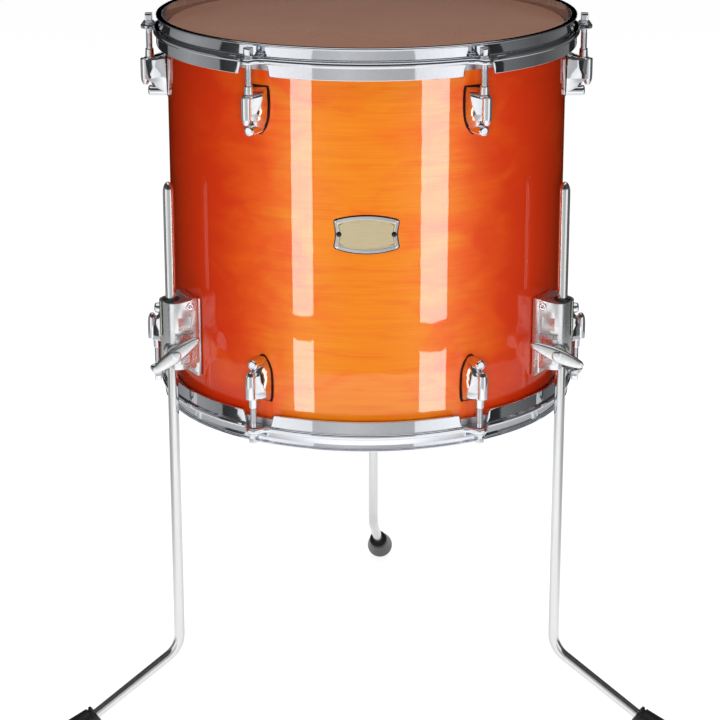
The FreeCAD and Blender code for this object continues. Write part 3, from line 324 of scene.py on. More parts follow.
def platedMetal(name, tone, worn, roughLow, roughHigh, waveSize, waveStrength, stretchUp=1.0):
    # plated metal: mirror bright, with a film of polish haze and the slow waves of the metal below
    material, tree, shader, centred = newMaterial(name, {"Metallic": 1.0})
    stretch = addNode(tree, "ShaderNodeMapping", {"vector_type": "POINT"}, {
        "Vector": (centred, "Vector"), "Scale": (1, 1, stretchUp)})
    haze = addNode(tree, "ShaderNodeTexNoise", {}, {
        "Vector": (stretch, "Vector"), "Scale": 1 / (4 * mm), "Detail": 4.0, "Roughness": 0.6})
    rough = addNode(tree, "ShaderNodeMapRange", {}, {
        "Value": (haze, "Fac"), "From Min": 0.35, "From Max": 0.7,
        "To Min": roughLow, "To Max": roughHigh})
    tinted = addNode(tree, "ShaderNodeMix", {"data_type": "RGBA"}, {
        0: (haze, "Fac"), 6: colour(tone), 7: colour(worn)})
    wave = addNode(tree, "ShaderNodeTexNoise", {}, {
        "Vector": (stretch, "Vector"), "Scale": 1 / (waveSize * mm), "Detail": 1.0})
    bump = addNode(tree, "ShaderNodeBump", {}, {
        "Height": (wave, "Fac"), "Strength": waveStrength, "Distance": 0.5 * mm})
    feed(tree, shader, {
        "Roughness": (rough, "Result"), "Base Color": (tinted, 2), "Normal": (bump, "Normal")})
    return material


maple = lacqueredMaple()
film = drumFilm()
# sanded birch ply inside the shell: pale brown, dry, with plies at the edge
birch = figured("rawBirch", {"Roughness": 0.7, "Specular IOR Level": 0.3},
                ("#b98a68", "#8a5d44"), (40, 1.5), 3.0, (0.2, 0.1), 0.4)
# bright chrome on rolled steel, on die-cast zinc and on drawn tube, each with its own slow waves
hoopChrome = platedMetal("hoopChrome", "#e9ebef", "#dcdfe6", 0.03, 0.09, 30, 0.10)
castChrome = platedMetal("castChrome", "#eceef1", "#dde0e6", 0.04, 0.12, 9, 0.16)
legChrome = platedMetal("drawnChrome", "#e4e6e6", "#d4d6d6", 0.10, 0.22, 14, 0.06, 0.05)
# satin chrome on cast zinc: pale grey faces that hold no sharp picture of the room
satinChrome = platedMetal("satinChrome", "#f1f2f3", "#e4e6e8", 0.26, 0.36, 9, 0.05)
# extruded aluminium and zinc-plated steel: duller greys
satinAlloy = platedMetal("satinAluminium", "#c9cbce", "#b5b7bb", 0.3, 0.42, 8, 0.05)
zincPlate = platedMetal("zincPlatedSteel", "#b9b8b0", "#9d9c95", 0.2, 0.38, 5, 0.1)
# moulded rubber, sheet rubber, nylon and brushed-on enamel: near black, from dull to wet
footRubber = figured("mouldedRubber", {"Roughness": 0.38}, ("#101011", "#1b1b1c"),
                     (1.2, 1.2), 3.0, (0.5, 0.04))
padRubber = figured("gasketRubber", {"Roughness": 0.6, "Specular IOR Level": 0.3},
                    ("#160b09", "#241513"), (1.0, 1.0), 3.0, (0.5, 0.04))
nylon = figured("blackNylon", {"Roughness": 0.34}, ("#111214", "#1d1e21"),
                (0.8, 0.8), 3.0, (0.5, 0.02))
enamel = figured("blackEnamel", {"Roughness": 0.12}, ("#0c0c0d", "#151516"),
                 (2.0, 2.0), 3.0, (0.5, 0.01))
# brushed champagne anodised plate: fine level strokes under a soft sheen
champagne = figured("champagnePlate", {"Metallic": 0.55, "Roughness": 0.34},
                    ("#e9dcb8", "#cdb98e"), (12, 0.35), 2.0, (0.3, 0.05))
print("materials made")


# Geometry Nodes: one piece repeated round the drum, at both ends

def newTree(name, inputs):
    tree = bpy.data.node_groups.new(name, "GeometryNodeTree")
    for socketName, kind in inputs:
        tree.interface.new_socket(socketName, in_out="INPUT", socket_type="NodeSocket" + kind)
    tree.interface.new_socket("Geometry", in_out="OUTPUT", socket_type="NodeSocketGeometry")
    return tree, addNode(tree, "NodeGroupInput")


def closedTree(tree, given, result):
    real = addNode(tree, "GeometryNodeRealizeInstances", {}, {"Geometry": result})
    painted = addNode(tree, "GeometryNodeSetMaterial", {}, {
        "Geometry": (real, "Geometry"), "Material": (given, "Finish")})
    addNode(tree, "NodeGroupOutput", {}, {"Geometry": (painted, "Geometry")})
    return tree


def aroundTree():
    tree, given = newTree("aroundDrum", (
        ("Geometry", "Geometry"), ("Count", "Int"), ("First angle", "Float"),
        ("Middle", "Vector"), ("Finish", "Material")))
    turnedOver = addNode(tree, "GeometryNodeTransform", {}, {
        "Geometry": (given, "Geometry"), "Rotation": (math.pi, 0, 0)})
    both = addNode(tree, "GeometryNodeJoinGeometry", {}, {"Geometry": (given, "Geometry")})
    tree.links.new(turnedOver.outputs["Geometry"], both.inputs["Geometry"])
    spots = addNode(tree, "GeometryNodePoints", {}, {
        "Count": (given, "Count"), "Position": (given, "Middle")})
    order = addNode(tree, "GeometryNodeInputIndex")
    step = addNode(tree, "ShaderNodeMath", {"operation": "DIVIDE"}, {
        0: math.tau, 1: (given, "Count")})
    angle = addNode(tree, "ShaderNodeMath", {"operation": "MULTIPLY_ADD"}, {
        0: (order, "Index"), 1: (step, "Value"), 2: (given, "First angle")})
    vector = addNode(tree, "ShaderNodeCombineXYZ", {}, {"Z": (angle, "Value")})
    spin = addNode(tree, "FunctionNodeEulerToRotation", {}, {"Euler": (vector, "Vector")})
    copies = addNode(tree, "GeometryNodeInstanceOnPoints", {}, {
        "Points": (spots, 0), "Instance": (both, "Geometry"), "Rotation": (spin, "Rotation")})
    return closedTree(tree, given, (copies, "Instances"))


def threadTree():
    # ridges of a thread, one above the other along Z
    tree, given = newTree("threadRidges", (
        ("Count", "Int"), ("Pitch", "Float"), ("Start", "Float"), ("Radius", "Float"),
        ("Depth", "Float"), ("Finish", "Material")))
    start = addNode(tree, "ShaderNodeCombineXYZ", {}, {"Z": (given, "Start")})
    pitch = addNode(tree, "ShaderNodeCombineXYZ", {}, {"Z": (given, "Pitch")})
    line = addNode(tree, "GeometryNodeMeshLine", {"mode": "OFFSET"}, {
        "Count": (given, "Count"), "Start Location": (start, "Vector"), "Offset": (pitch, "Vector")})
    path = addNode(tree, "GeometryNodeCurvePrimitiveCircle", {}, {
        "Resolution": 20, "Radius": (given, "Radius")})
    section = addNode(tree, "GeometryNodeCurvePrimitiveCircle", {}, {
        "Resolution": 5, "Radius": (given, "Depth")})
    ridge = addNode(tree, "GeometryNodeCurveToMesh", {}, {
        "Curve": (path, "Curve"), "Profile Curve": (section, "Curve")})
    copies = addNode(tree, "GeometryNodeInstanceOnPoints", {}, {
        "Points": (line, "Mesh"), "Instance": (ridge, "Mesh")})
    return closedTree(tree, given, (copies, "Instances"))


def tubeTree():
    # round tube along a route whose corners are bent to a radius
    tree, given = newTree("bentTube", (
        ("Geometry", "Geometry"), ("Bend radius", "Float"), ("Tube radius", "Float"),
        ("Finish", "Material")))
    route = addNode(tree, "GeometryNodeMeshToCurve", {}, {"Mesh": (given, "Geometry")})
    bent = addNode(tree, "GeometryNodeFilletCurve", {"mode": "POLY"}, {
        "Curve": (route, "Curve"), "Count": 24, "Radius": (given, "Bend radius")})
    section = addNode(tree, "GeometryNodeCurvePrimitiveCircle", {}, {
        "Resolution": 40, "Radius": (given, "Tube radius")})
    tube = addNode(tree, "GeometryNodeCurveToMesh", {}, {
        "Curve": (bent, "Curve"), "Profile Curve": (section, "Curve"), "Fill Caps": True})
    return closedTree(tree, given, (tube, "Mesh"))


def grown(name, mesh, tree, values):
    holder = linked(name, mesh)
    modifier = addModifier(holder, "NODES", {"node_group": tree})
    for item in tree.interface.items_tree:
        if item.item_type == "SOCKET" and item.in_out == "INPUT" and item.name in values:
            modifier[item.identifier] = values[item.name]
    holder.update_tag()
    return plainMesh(holder)


aroundDrum = aroundTree()
threadRidges = threadTree()
bentTube = tubeTree()


def aroundBothEnds(name, mesh, finish):
    mesh.transform(Matrix.Scale(mm, 4))
    return grown(name, mesh, aroundDrum, {
        "Count": len(lugAngles), "First angle": math.radians(lugAngles[0] - 90),
        "Middle": tuple(drumMiddle), "Finish": finish})


# Camera, floor and lights

camera = {"place": (0.0, -2.0700, 0.9962), "pitch": 16.58, "lens": 113.39, "sensor": 36,
          "shift": (-0.0091, -0.10)}
view = bpy.data.cameras.new("view")
view.lens = camera["lens"]
view.sensor_width = camera["sensor"]
view.shift_x, view.shift_y = camera["shift"]
viewPoint = linked("view", view)
viewPoint.location = camera["place"]
viewPoint.rotation_euler = (math.radians(90 - camera["pitch"]), 0, 0)
bpy.context.scene.camera = viewPoint
bpy.context.scene.view_settings.view_transform = "Standard"

studio = {
    "floorSize": 14.0, "floorTone": 0.85, "floorGlow": 0.80,
    "floorMirrored": (0.62, 0.10), "floorFade": (0.30, 0.85),
    "skySeen": 1.0, "skyLight": 0.20,
    # lamps: where, how wide and high, and power
    "key": ((0.0, -2.5, 0.80), 0.9, 0.5, 27.5), "top": ((0.0, -0.7, 2.3), 1.2, 1.2, 14.0),
    # strips whose reflections run down the lacquer: angle round the drum, width, dark gap
    "strips": {"left": (-33.5, 0.19, (0.122, 0.161)), "right": (35.5, 0.25, (0.104, 0.151))},
    "stripRadiance": 12.0, "stripAway": 0.96, "stripLevels": (0.003, 0.56),
    # what chrome and lacquer mirror: angle round the drum and tone, a repeated angle being an edge
    "surround": [(-166, 0.02), (-130, 0.02), (-130, 0.22), (-104, 0.36), (-80, 0.26), (-80, 0.03),
                 (-68, 0.06), (-68, 0.90), (-58, 1.15), (-27, 0.95), (-27, 0.55), (-10, 0.64),
                 (10, 0.52), (24, 0.50), (24, 0.95), (48, 1.15), (62, 1.0), (62, 0.02), (73, 0.03),
                 (73, 0.18), (100, 0.10), (137, 0.18), (137, 0.02), (166, 0.02)],
    "surroundRadius": 1.15, "surroundHeight": 0.62,
    "upper": [(-150, 0.03), (-60, 0.08), (0, 0.04), (60, 0.08), (150, 0.03)],
    "upperLevels": (0.62, 2.0), "cardStep": 6,
    "backBoard": [(136, 0.10), (224, 0.10)], "backBoardLevels": (0.70, 1.6),
}

lacquerOnly = bpy.data.collections.new("lacquerOnly")  # what the strips shine on
allButLacquer = bpy.data.collections.new("allButLacquer")  # what mirrors the cards
headsOnly = bpy.data.collections.new("headsOnly")  # what mirrors the dark board behind


def emptied(owner):
    owner.use_nodes = True
    owner.node_tree.nodes.clear()
    return owner.node_tree


def addStage(name, mesh, material):
    mesh.materials.append(material)
    piece = linked(name, mesh)
    return piece


def seenOnlyBy(tree):
    # 1 for rays that show the background: the camera's, and those by way of metal or glass
    ray = addNode(tree, "ShaderNodeLightPath")
    pair = addNode(tree, "ShaderNodeMath", {"operation": "MAXIMUM"}, {
        0: (ray, "Is Camera Ray"), 1: (ray, "Is Glossy Ray")})
    return addNode(tree, "ShaderNodeMath", {"operation": "MAXIMUM"}, {
        0: (pair, "Value"), 1: (ray, "Is Transmission Ray")})


def makeFloor():
    half = studio["floorSize"] / 2
    mesh = bpy.data.meshes.new("floor")
    mesh.from_pydata([(-half, -half, 0), (half, -half, 0), (half, half, 0), (-half, half, 0)],
                     [], [(0, 1, 2, 3)])
    material = bpy.data.materials.new("paleFloor")
    tree = emptied(material)
    ray = addNode(tree, "ShaderNodeLightPath")
    tone = studio["floorTone"]
    matt = addNode(tree, "ShaderNodeBsdfDiffuse", {}, {"Color": (tone, tone, tone, 1)})
    where = addNode(tree, "ShaderNodeTexCoord")
    place = addNode(tree, "ShaderNodeSeparateXYZ", {}, {"Vector": (where, "Object")})
    aside = addNode(tree, "ShaderNodeMath", {"operation": "ABSOLUTE"}, {0: (place, "X")})
    near, far = studio["floorFade"]
    bright, dull = studio["floorMirrored"]
    mirrored = addNode(tree, "ShaderNodeMapRange", {"interpolation_type": "SMOOTHSTEP"}, {
        "Value": (aside, "Value"), "From Min": near, "From Max": far, "To Min": bright, "To Max": dull})
    inGloss = addNode(tree, "ShaderNodeMath", {"operation": "MULTIPLY"}, {
        0: (ray, "Is Glossy Ray"), 1: (mirrored, "Result")})
    straight = addNode(tree, "ShaderNodeMath", {"operation": "MAXIMUM"}, {
        0: (ray, "Is Camera Ray"), 1: (ray, "Is Transmission Ray")})
    level = addNode(tree, "ShaderNodeMath", {"operation": "MULTIPLY_ADD"}, {
        0: (straight, "Value"), 1: studio["floorGlow"], 2: (inGloss, "Value")})
    glow = addNode(tree, "ShaderNodeEmission", {}, {"Strength": (level, "Value")})
    both = addNode(tree, "ShaderNodeAddShader", {}, {0: (matt, 0), 1: (glow, 0)})
    addNode(tree, "ShaderNodeOutputMaterial", {}, {"Surface": (both, 0)})
    addStage("floor", mesh, material)


def makeWorld():
    world = bpy.data.worlds.new("studio")
    tree = emptied(world)
    seen = seenOnlyBy(tree)
    level = addNode(tree, "ShaderNodeMapRange", {}, {
        "Value": (seen, "Value"), "To Min": studio["skyLight"], "To Max": studio["skySeen"]})
    sky = addNode(tree, "ShaderNodeBackground", {}, {
        "Color": (1, 1, 1, 1), "Strength": (level, "Result")})
    addNode(tree, "ShaderNodeOutputWorld", {}, {"Surface": (sky, 0)})
    bpy.context.scene.world = world


def addLamp(name, place, target, width, height, power, seenInGloss):
    lamp = bpy.data.lights.new(name, "AREA")
    lamp.shape = "RECTANGLE"
    lamp.size, lamp.size_y = width, height
    lamp.energy = power
    holder = linked(name, lamp)
    holder.location = place
    holder.rotation_euler = (Vector(target) - Vector(place)).to_track_quat("-Z", "Y").to_euler()
    holder.visible_camera = False
    holder.visible_glossy = seenInGloss
    return holder


def makeLamps():
    axis, away = drumMiddle.y, studio["stripAway"]
    low, high = studio["stripLevels"]
    for name, (angle, width, gap) in studio["strips"].items():
        x, y = away * math.sin(math.radians(angle)), -away * math.cos(math.radians(angle))
        for part, foot, top in (("Lower", low, gap[0]), ("Upper", gap[1], high)):
            middle = (foot + top) / 2
            power = studio["stripRadiance"] * math.pi * width * (top - foot)
            lamp = addLamp(name + part, (x, axis + y, middle), (0, axis, middle), width,
                           top - foot, power, True)
            lamp.visible_diffuse = False
            lamp.light_linking.receiver_collection = lacquerOnly
    for name in ("key", "top"):
        place, width, height, power = studio[name]
        addLamp(name, place, tuple(drumMiddle), width, height, power, False)


def makeCard(name, tones, low, high, mirroredBy):
    # curved card that only reflections see
    points, faces, values = [], [], []
    angle, before = tones[0]
    stops = [(angle, before)]
    for nextAngle, tone in tones[1:]:
        steps = max(1, round((nextAngle - angle) / studio["cardStep"]))
        for k in range(1, steps + 1):
            t = k / steps
            stops.append((angle + (nextAngle - angle) * t, before + (tone - before) * t))
        angle, before = nextAngle, tone
    radius = studio["surroundRadius"]
    for k, (turn, tone) in enumerate(stops):
        turn = math.radians(turn)
        for z in (low, high):
            points.append((radius * math.sin(turn), drumMiddle.y - radius * math.cos(turn), z))
            values.append(tone)
        if k:
            faces.append((2 * k - 2, 2 * k - 1, 2 * k + 1, 2 * k))
    mesh = bpy.data.meshes.new(name)
    mesh.from_pydata(points, [], faces)
    mesh.attributes.new("tone", "FLOAT", "POINT").data.foreach_set("value", values)
    material = bpy.data.materials.new(name)
    tree = emptied(material)
    tone = addNode(tree, "ShaderNodeAttribute", {"attribute_name": "tone"})
    glow = addNode(tree, "ShaderNodeEmission", {}, {"Color": (tone, "Fac")})
    addNode(tree, "ShaderNodeOutputMaterial", {}, {"Surface": (glow, 0)})
    card = addStage(name, mesh, material)
    card.visible_camera = card.visible_diffuse = False
    card.visible_shadow = card.visible_transmission = False
    card.light_linking.receiver_collection = mirroredBy


makeFloor()
makeWorld()
makeLamps()
makeCard("surround", studio["surround"], 0.0, studio["surroundHeight"], allButLacquer)
makeCard("upper", studio["upper"], *studio["upperLevels"], allButLacquer)
makeCard("backBoard", studio["backBoard"], *studio["backBoardLevels"], headsOnly)
print("studio made")


# Shell and heads

shell = {"radius": 177.8, "half": 165.1, "wall": 6.0, "crestInset": 2.0, "roundover": 3.2, "steps": 288}


def makeShell():
    inner = shell["radius"] - shell["wall"]
    crest = shell["radius"] - shell["crestInset"]
    bevel = crest - inner
    half = shell["half"]
    outline = rounded([
        (inner, bevel - half), (crest, -half, 0.5), (shell["radius"], shell["roundover"] - half, 2.0),
        (shell["radius"], half - shell["roundover"], 2.0), (crest, half, 0.5), (inner, half - bevel)])
    mesh = turned("shell", outline, shell["steps"], 30)
    for face in mesh.polygons:
        across = math.hypot(face.center.x, face.center.y)
        face.material_index = 0 if across > crest + 0.2 else 1
    return moved(mesh, placeAt(90))


addPiece("mapleShell", makeShell(), "drum", "shell_lacquer", [maple, birch], ["shell"])

head = {"film": 0.4, "shoulder": 179.2, "collarFall": 4.5}


def makeHead(flipped):
    top = shell["half"] + head["film"]
    crest = shell["radius"] - shell["crestInset"]
    low = shell["half"] - head["collarFall"]
    outline = rounded([
        (0, shell["half"]), (crest, shell["half"], 0.6), (head["shoulder"], low),
        (head["shoulder"] + head["film"], low), (crest + 0.3, top, 1.0), (0, top)])
    return moved(turned("head", outline, 192, 50), placeAt(90, flipped))


addPiece("batterHead", makeHead(False), "drum", "head_film", [film], ["head_top"])
addPiece("resonantHead", makeHead(True), "drum", "head_film", [film], ["head_bottom"])
print("shell and heads made")


# Hoops: rolled rim, collar, flange that swells into six ears, and a skirt cut away under each ear

hoop = {
    "collar": (181.6, 184.0), "rim": 174.5, "lip": 172.4, "lipReach": 187.0,
    "flange": (158.2, 163.0), "flangeReach": 190.0, "ledge": 160.6,
    "skirt": (184.6, 187.0), "skirtEdge": 147.4,
    "ear": [(0.0, 201.4), (2.0, 201.2), (3.8, 200.3), (5.4, 198.4), (6.6, 196.2), (7.6, 194.2),
            (9.2, 192.2), (11.0, 190.9), (13.0, 190.2), (15.5, 190.0)],
    "gapHalf": 13.0, "gapSlope": 3.4, "gapDip": 0.15,  # skirt cut away beside an ear
    # sections: at these distances from an ear's middle along this radius, and plain ones between
    "offsets": [1.0, 2.9, 4.6, 6.0, 8.4], "slopeSteps": 5, "offsetRadius": 188, "between": 15,
}


def earReach(offset):
    table = hoop["ear"]
    for (near, low), (far, high) in zip(table, table[1:]):
        if offset <= far:
            return low + (high - low) * (offset - near) / (far - near)
    return hoop["flangeReach"]


def hoopSection(offset):
    inner, outer = hoop["collar"]
    low, high = hoop["flange"]
    past = min(max((offset - hoop["gapHalf"]) / hoop["gapSlope"], 0), 1)
    start = low - hoop["gapDip"]
    edge = start + (hoop["skirtEdge"] - start) * (past * past * (3 - 2 * past)) ** 0.5
    reach = earReach(offset)
    return rounded([
        (inner, hoop["rim"], 0.9), (inner, hoop["ledge"], 0.3), (hoop["skirt"][0], hoop["ledge"], 0.8),
        (hoop["skirt"][0], edge, 0.8), (hoop["skirt"][1], edge, 0.8), (hoop["skirt"][1], low, 0.7),
        (reach, low, 2.3), (reach, high, 2.3), (outer, high, 1.1), (outer, hoop["lip"], 0.8),
        (hoop["lipReach"], hoop["lip"], 1.0), (hoop["lipReach"], hoop["rim"], 1.0)])


def makeHoop(flipped):
    slope, cuts = hoop["gapSlope"], hoop["slopeSteps"]
    offsets = sorted(set([o for o, reach in hoop["ear"]] + hoop["offsets"] + [
        hoop["gapHalf"] + slope * k / cuts for k in range(1, cuts + 1)]))
    turns = [math.degrees(o / hoop["offsetRadius"]) for o in offsets]
    edge, plain = turns[-1], 2 * offsets[-1]
    sixth = 360 / len(lugAngles)
    rings = []
    for ear in range(len(lugAngles)):
        middle = lugAngles[0] + sixth * ear
        near = [(sign * turn, o) for sign in (-1, 1) for turn, o in zip(turns, offsets)
                if o or sign > 0]
        far = [(edge + (sixth - 2 * edge) * k / hoop["between"], plain)
               for k in range(1, hoop["between"])]
        for turn, offset in sorted(near) + far:
            angle = math.radians(middle + turn - 90)
            rings.append([(p.x * math.cos(angle), p.x * math.sin(angle), p.y)
                          for p in hoopSection(offset)])
    mesh = lofted("hoop", rings, True, 40)
    return moved(mesh, placeAt(90, flipped))


addPiece("batterHoop", makeHoop(False), "drum", "chromed_steel", [hoopChrome], ["hoop_top"])
addPiece("resonantHoop", makeHoop(True), "drum", "chromed_steel", [hoopChrome], ["hoop_bottom"])
print("hoops made")


# Lugs with their gaskets, nuts, rods and washers

lug = {
    "rodCircle": 194.0, "barrelAxis": 198.2, "barLevel": 102.3,
    # outlines of what is turned: across and up
    "barrel": [(0, 107.2), (1.9, 107.2, 1.4), (3.8, 110.8, 2.4), (4.3, 115.2, 3.0),
               (4.3, 131.4, 0.7), (0, 131.4)],
    "bar": [(0, 178.6), (4.7, 178.6), (4.7, 196.0, 2.6), (0, 196.0)],
    "seat": [(4.5, 130.6), (5.4, 130.6), (5.4, 132.3, 0.5), (4.5, 132.3, 0.4)],
    "nut": [(2.8, 117.2), (4.4, 117.2), (4.4, 132.6, 0.4), (4.05, 133.0, 0.3),
            (3.7, 140.2, 0.7), (2.8, 141.0, 0.3)],
    "washer": [(3.1, 163.0), (6.0, 163.0, 0.3), (5.9, 164.2, 0.5), (3.1, 164.2)],
    # levels down the casting: at the shell, at the ridge and where it meets the barrel
    "levels": [((178.7, 8.2, 137.6), (187.6, 9.3, 133.2), (197.6, 4.0, 131.2)),
               ((178.7, 9.2, 134.6), (188.2, 9.7, 131.0), (197.9, 4.1, 129.6)),
               ((178.7, 9.6, 127.0), (189.2, 9.0, 125.2), (197.6, 4.0, 124.0)),
               ((178.7, 9.5, 119.0), (190.9, 7.2, 117.8), (197.0, 3.7, 117.4)),
               ((178.7, 9.0, 112.4), (192.4, 5.4, 111.6), (195.6, 3.2, 111.4)),
               ((178.7, 8.4, 109.2), (190.4, 4.9, 109.4), (192.6, 3.0, 109.6)),
               ((178.7, 6.2, 103.2), (187.0, 3.8, 103.4), (189.0, 2.4, 103.6)),
               ((178.7, 2.6, 98.2), (184.4, 2.0, 98.6), (185.6, 1.2, 98.8))],
    "jointFront": 1.2, "padMargin": 0.7, "padTip": (1.2, 96.6), "padRadii": (177.75, 178.8),
}


def onRod(name, outline, steps):
    mesh = turned(name, rounded(outline), steps)
    mesh.transform(Matrix.Translation((lug["rodCircle"], 0, 0)))
    return mesh


def makeLugCasting():
    rings = []
    for base, ridge, joint in lug["levels"]:
        half = [base, ridge, joint]
        front = (joint[0] + lug["jointFront"], 0.0, joint[2])
        rings.append(half + [front] + [(r, -t, z) for r, t, z in reversed(half)])
    casting = bevelled(lofted("lugCasting", rings), 0.45, 2, 28, 24)
    barrel = turned("barrel", rounded(lug["barrel"]), 40)
    barrel.transform(Matrix.Translation((lug["barrelAxis"], 0, 0)))
    bar = turned("bar", rounded(lug["bar"], 8), 40)
    bar.transform(Matrix.Translation((0, 0, lug["barLevel"])) @ Matrix.Rotation(math.pi / 2, 4, "Y"))
    return merged("lugs", [casting, barrel, bar, onRod("nutSeat", lug["seat"], 40)])


def makeLugPad():
    # shield-shaped rubber sheet, wrapped on the shell
    margin = lug["padMargin"]
    edge = [(base[1] + margin, base[2]) for base, ridge, joint in lug["levels"]]
    edge[0] = (edge[0][0], edge[0][1] + margin)
    edge.append(lug["padTip"])
    line = edge + [(-t, z) for t, z in reversed(edge)]
    return lofted("lugPads", [
        [(math.sqrt(radius ** 2 - t * t), t, z) for t, z in line] for radius in lug["padRadii"]])


ends = ("top", "bottom")
lugNodes = ["lug_" + end + "_" + str(n) for end in ends for n in range(1, 7)]
for name, mesh, finish, slotName, nodes in (
        ("lugs", makeLugCasting(), castChrome, "chromed_zinc", lugNodes),
        ("lugPads", makeLugPad(), padRubber, "gasket_rubber", ["lug_gaskets"]),
        ("swivelNuts", onRod("swivelNuts", lug["nut"], 32), castChrome, "plated_steel", ["swivel_nuts"]),
        ("rodWashers", onRod("rodWashers", lug["washer"], 32), hoopChrome, "chromed_steel",
         ["rod_washers"])):
    addPiece(name, aroundBothEnds(name, mesh, finish), "drum", slotName, [finish], nodes)

rod = {
    "shank": [(0, 115.6), (2.0, 115.6), (2.7, 116.8), (2.7, 164.25), (5.0, 164.25, 0.3),
              (5.0, 165.25, 0.6), (3.2, 165.85), (0, 165.85)],
    "squareHalf": 3.2, "square": (165.05, 172.4), "squareRound": 0.7,
    "threads": {"Count": 16, "Pitch": 0.8, "Start": 142.0, "Radius": 2.65, "Depth": 0.3},
}


def makeRod(polar, flipped):
    half = rod["squareHalf"]
    corners = [(-half, -half), (half, -half), (half, half), (-half, half)]
    square = bevelled(slab("square", corners, *rod["square"]), rod["squareRound"], 3, 40)
    threads = grown("threads", bpy.data.meshes.new("threads"), threadRidges,
                    {**rod["threads"], "Finish": hoopChrome})
    threads.materials.clear()
    mesh = merged("rod", [turned("shank", rounded(rod["shank"]), 32), square, threads])
    mesh.transform(Matrix.Translation((lug["rodCircle"], 0, 0)))
    return moved(mesh, placeAt(polar, flipped))


for end in ends:
    for number, polar in enumerate(lugAngles, start=1):
        bodyName = "tension_rod_" + end + "_" + str(number)
        addPiece("rod_" + end + "_" + str(number), makeRod(polar, end == "bottom"), bodyName,
                 "chromed_steel", [hoopChrome], [bodyName])
print("lugs and rods made")


# Leg brackets: a cast clamp block on a base plate, with its jaw

legSides = {
    "left": {"polar": -60, "heading": -68, "side": 1, "wingTilt": 34},
    "right": {"polar": 60, "heading": 68, "side": -1, "wingTilt": 20},
    "back": {"polar": 178, "heading": 176, "side": 1, "wingTilt": 27},
}
bracket = {
    "top": -65.0, "bottom": -125.0, "topRise": 3.0,  # the top climbs towards the shell
    "back": 179.6, "front": 206.0, "halfWidth": 15.5, "faceHalf": 16.7,
    "plate": (-133.0, -62.0), "plateHalf": 17.0, "plateBack": 178.9, "plateFront": 185.5,
    # cut away: out from the drum's axis, across and up
    "shelf": ((181.5, 190), (-20, 20), (-140, -129.5)),
    "corner": ((176.0, 182.6), (-30, 30), (-140.0, -121.0)),
    "step": ((202.6, 210.0), (-30, 30), (-126.0, -117.5)),
    "recess": ((187.2, 199.0), (-88.4, -77.6)), "recessDepth": 1.4,
    "gap": ((184.5, 210.0), (-93.4, -91.2)),
    "legCircle": 198.2, "bore": 6.25, "boltLevel": -108.0, "boltTurn": 17.0,
    "boss": [(0, 6.2), (8.5, 6.2), (8.2, 12.5, 1.2), (7.0, 13.4, 0.6), (7.0, 18.0, 0.9), (0, 18.0)],
    "pad": ((186.0, 202.5), (188.5, 199.5)), "padRise": 1.3, "padLevels": (-120.0, -95.5),
    "teeth": 6, "toothPitch": 2.7, "toothWidth": 1.7, "toothLevels": (-95.6, -93.3),
}


def carved(name, mesh, tools, bevel):
    # cuts the tools out of a block, then breaks its edges
    holder = linked(name, mesh)
    cutters = [linked(name + "Cutter", tool) for tool in tools]
    for cutter in cutters:
        addModifier(holder, "BOOLEAN", {"operation": "DIFFERENCE", "object": cutter, "solver": "EXACT"})
    addModifier(holder, "BEVEL", {"width": bevel, "segments": 3, "limit_method": "ANGLE",
                                  "angle_limit": math.radians(30)})
    result = creased(plainMesh(holder), 32)
    for cutter in cutters:
        bpy.data.objects.remove(cutter)
    return result


def blockOf(name, xs, ys, zs):
    return slab(name, [(xs[0], ys[0]), (xs[1], ys[0]), (xs[1], ys[1]), (xs[0], ys[1])], zs[0], zs[1])


def boltFrame(side):
    # turns +Z to the wing bolt's axis
    turn = math.radians(bracket["boltTurn"])
    axis = Vector((math.sin(turn), side * math.cos(turn), 0))
    across = Vector((math.cos(turn), -side * math.sin(turn), 0))
    third = axis.cross(across)
    spin = Matrix((across, third, axis)).transposed().to_4x4()
    return Matrix.Translation((bracket["legCircle"], 0, bracket["boltLevel"])) @ spin


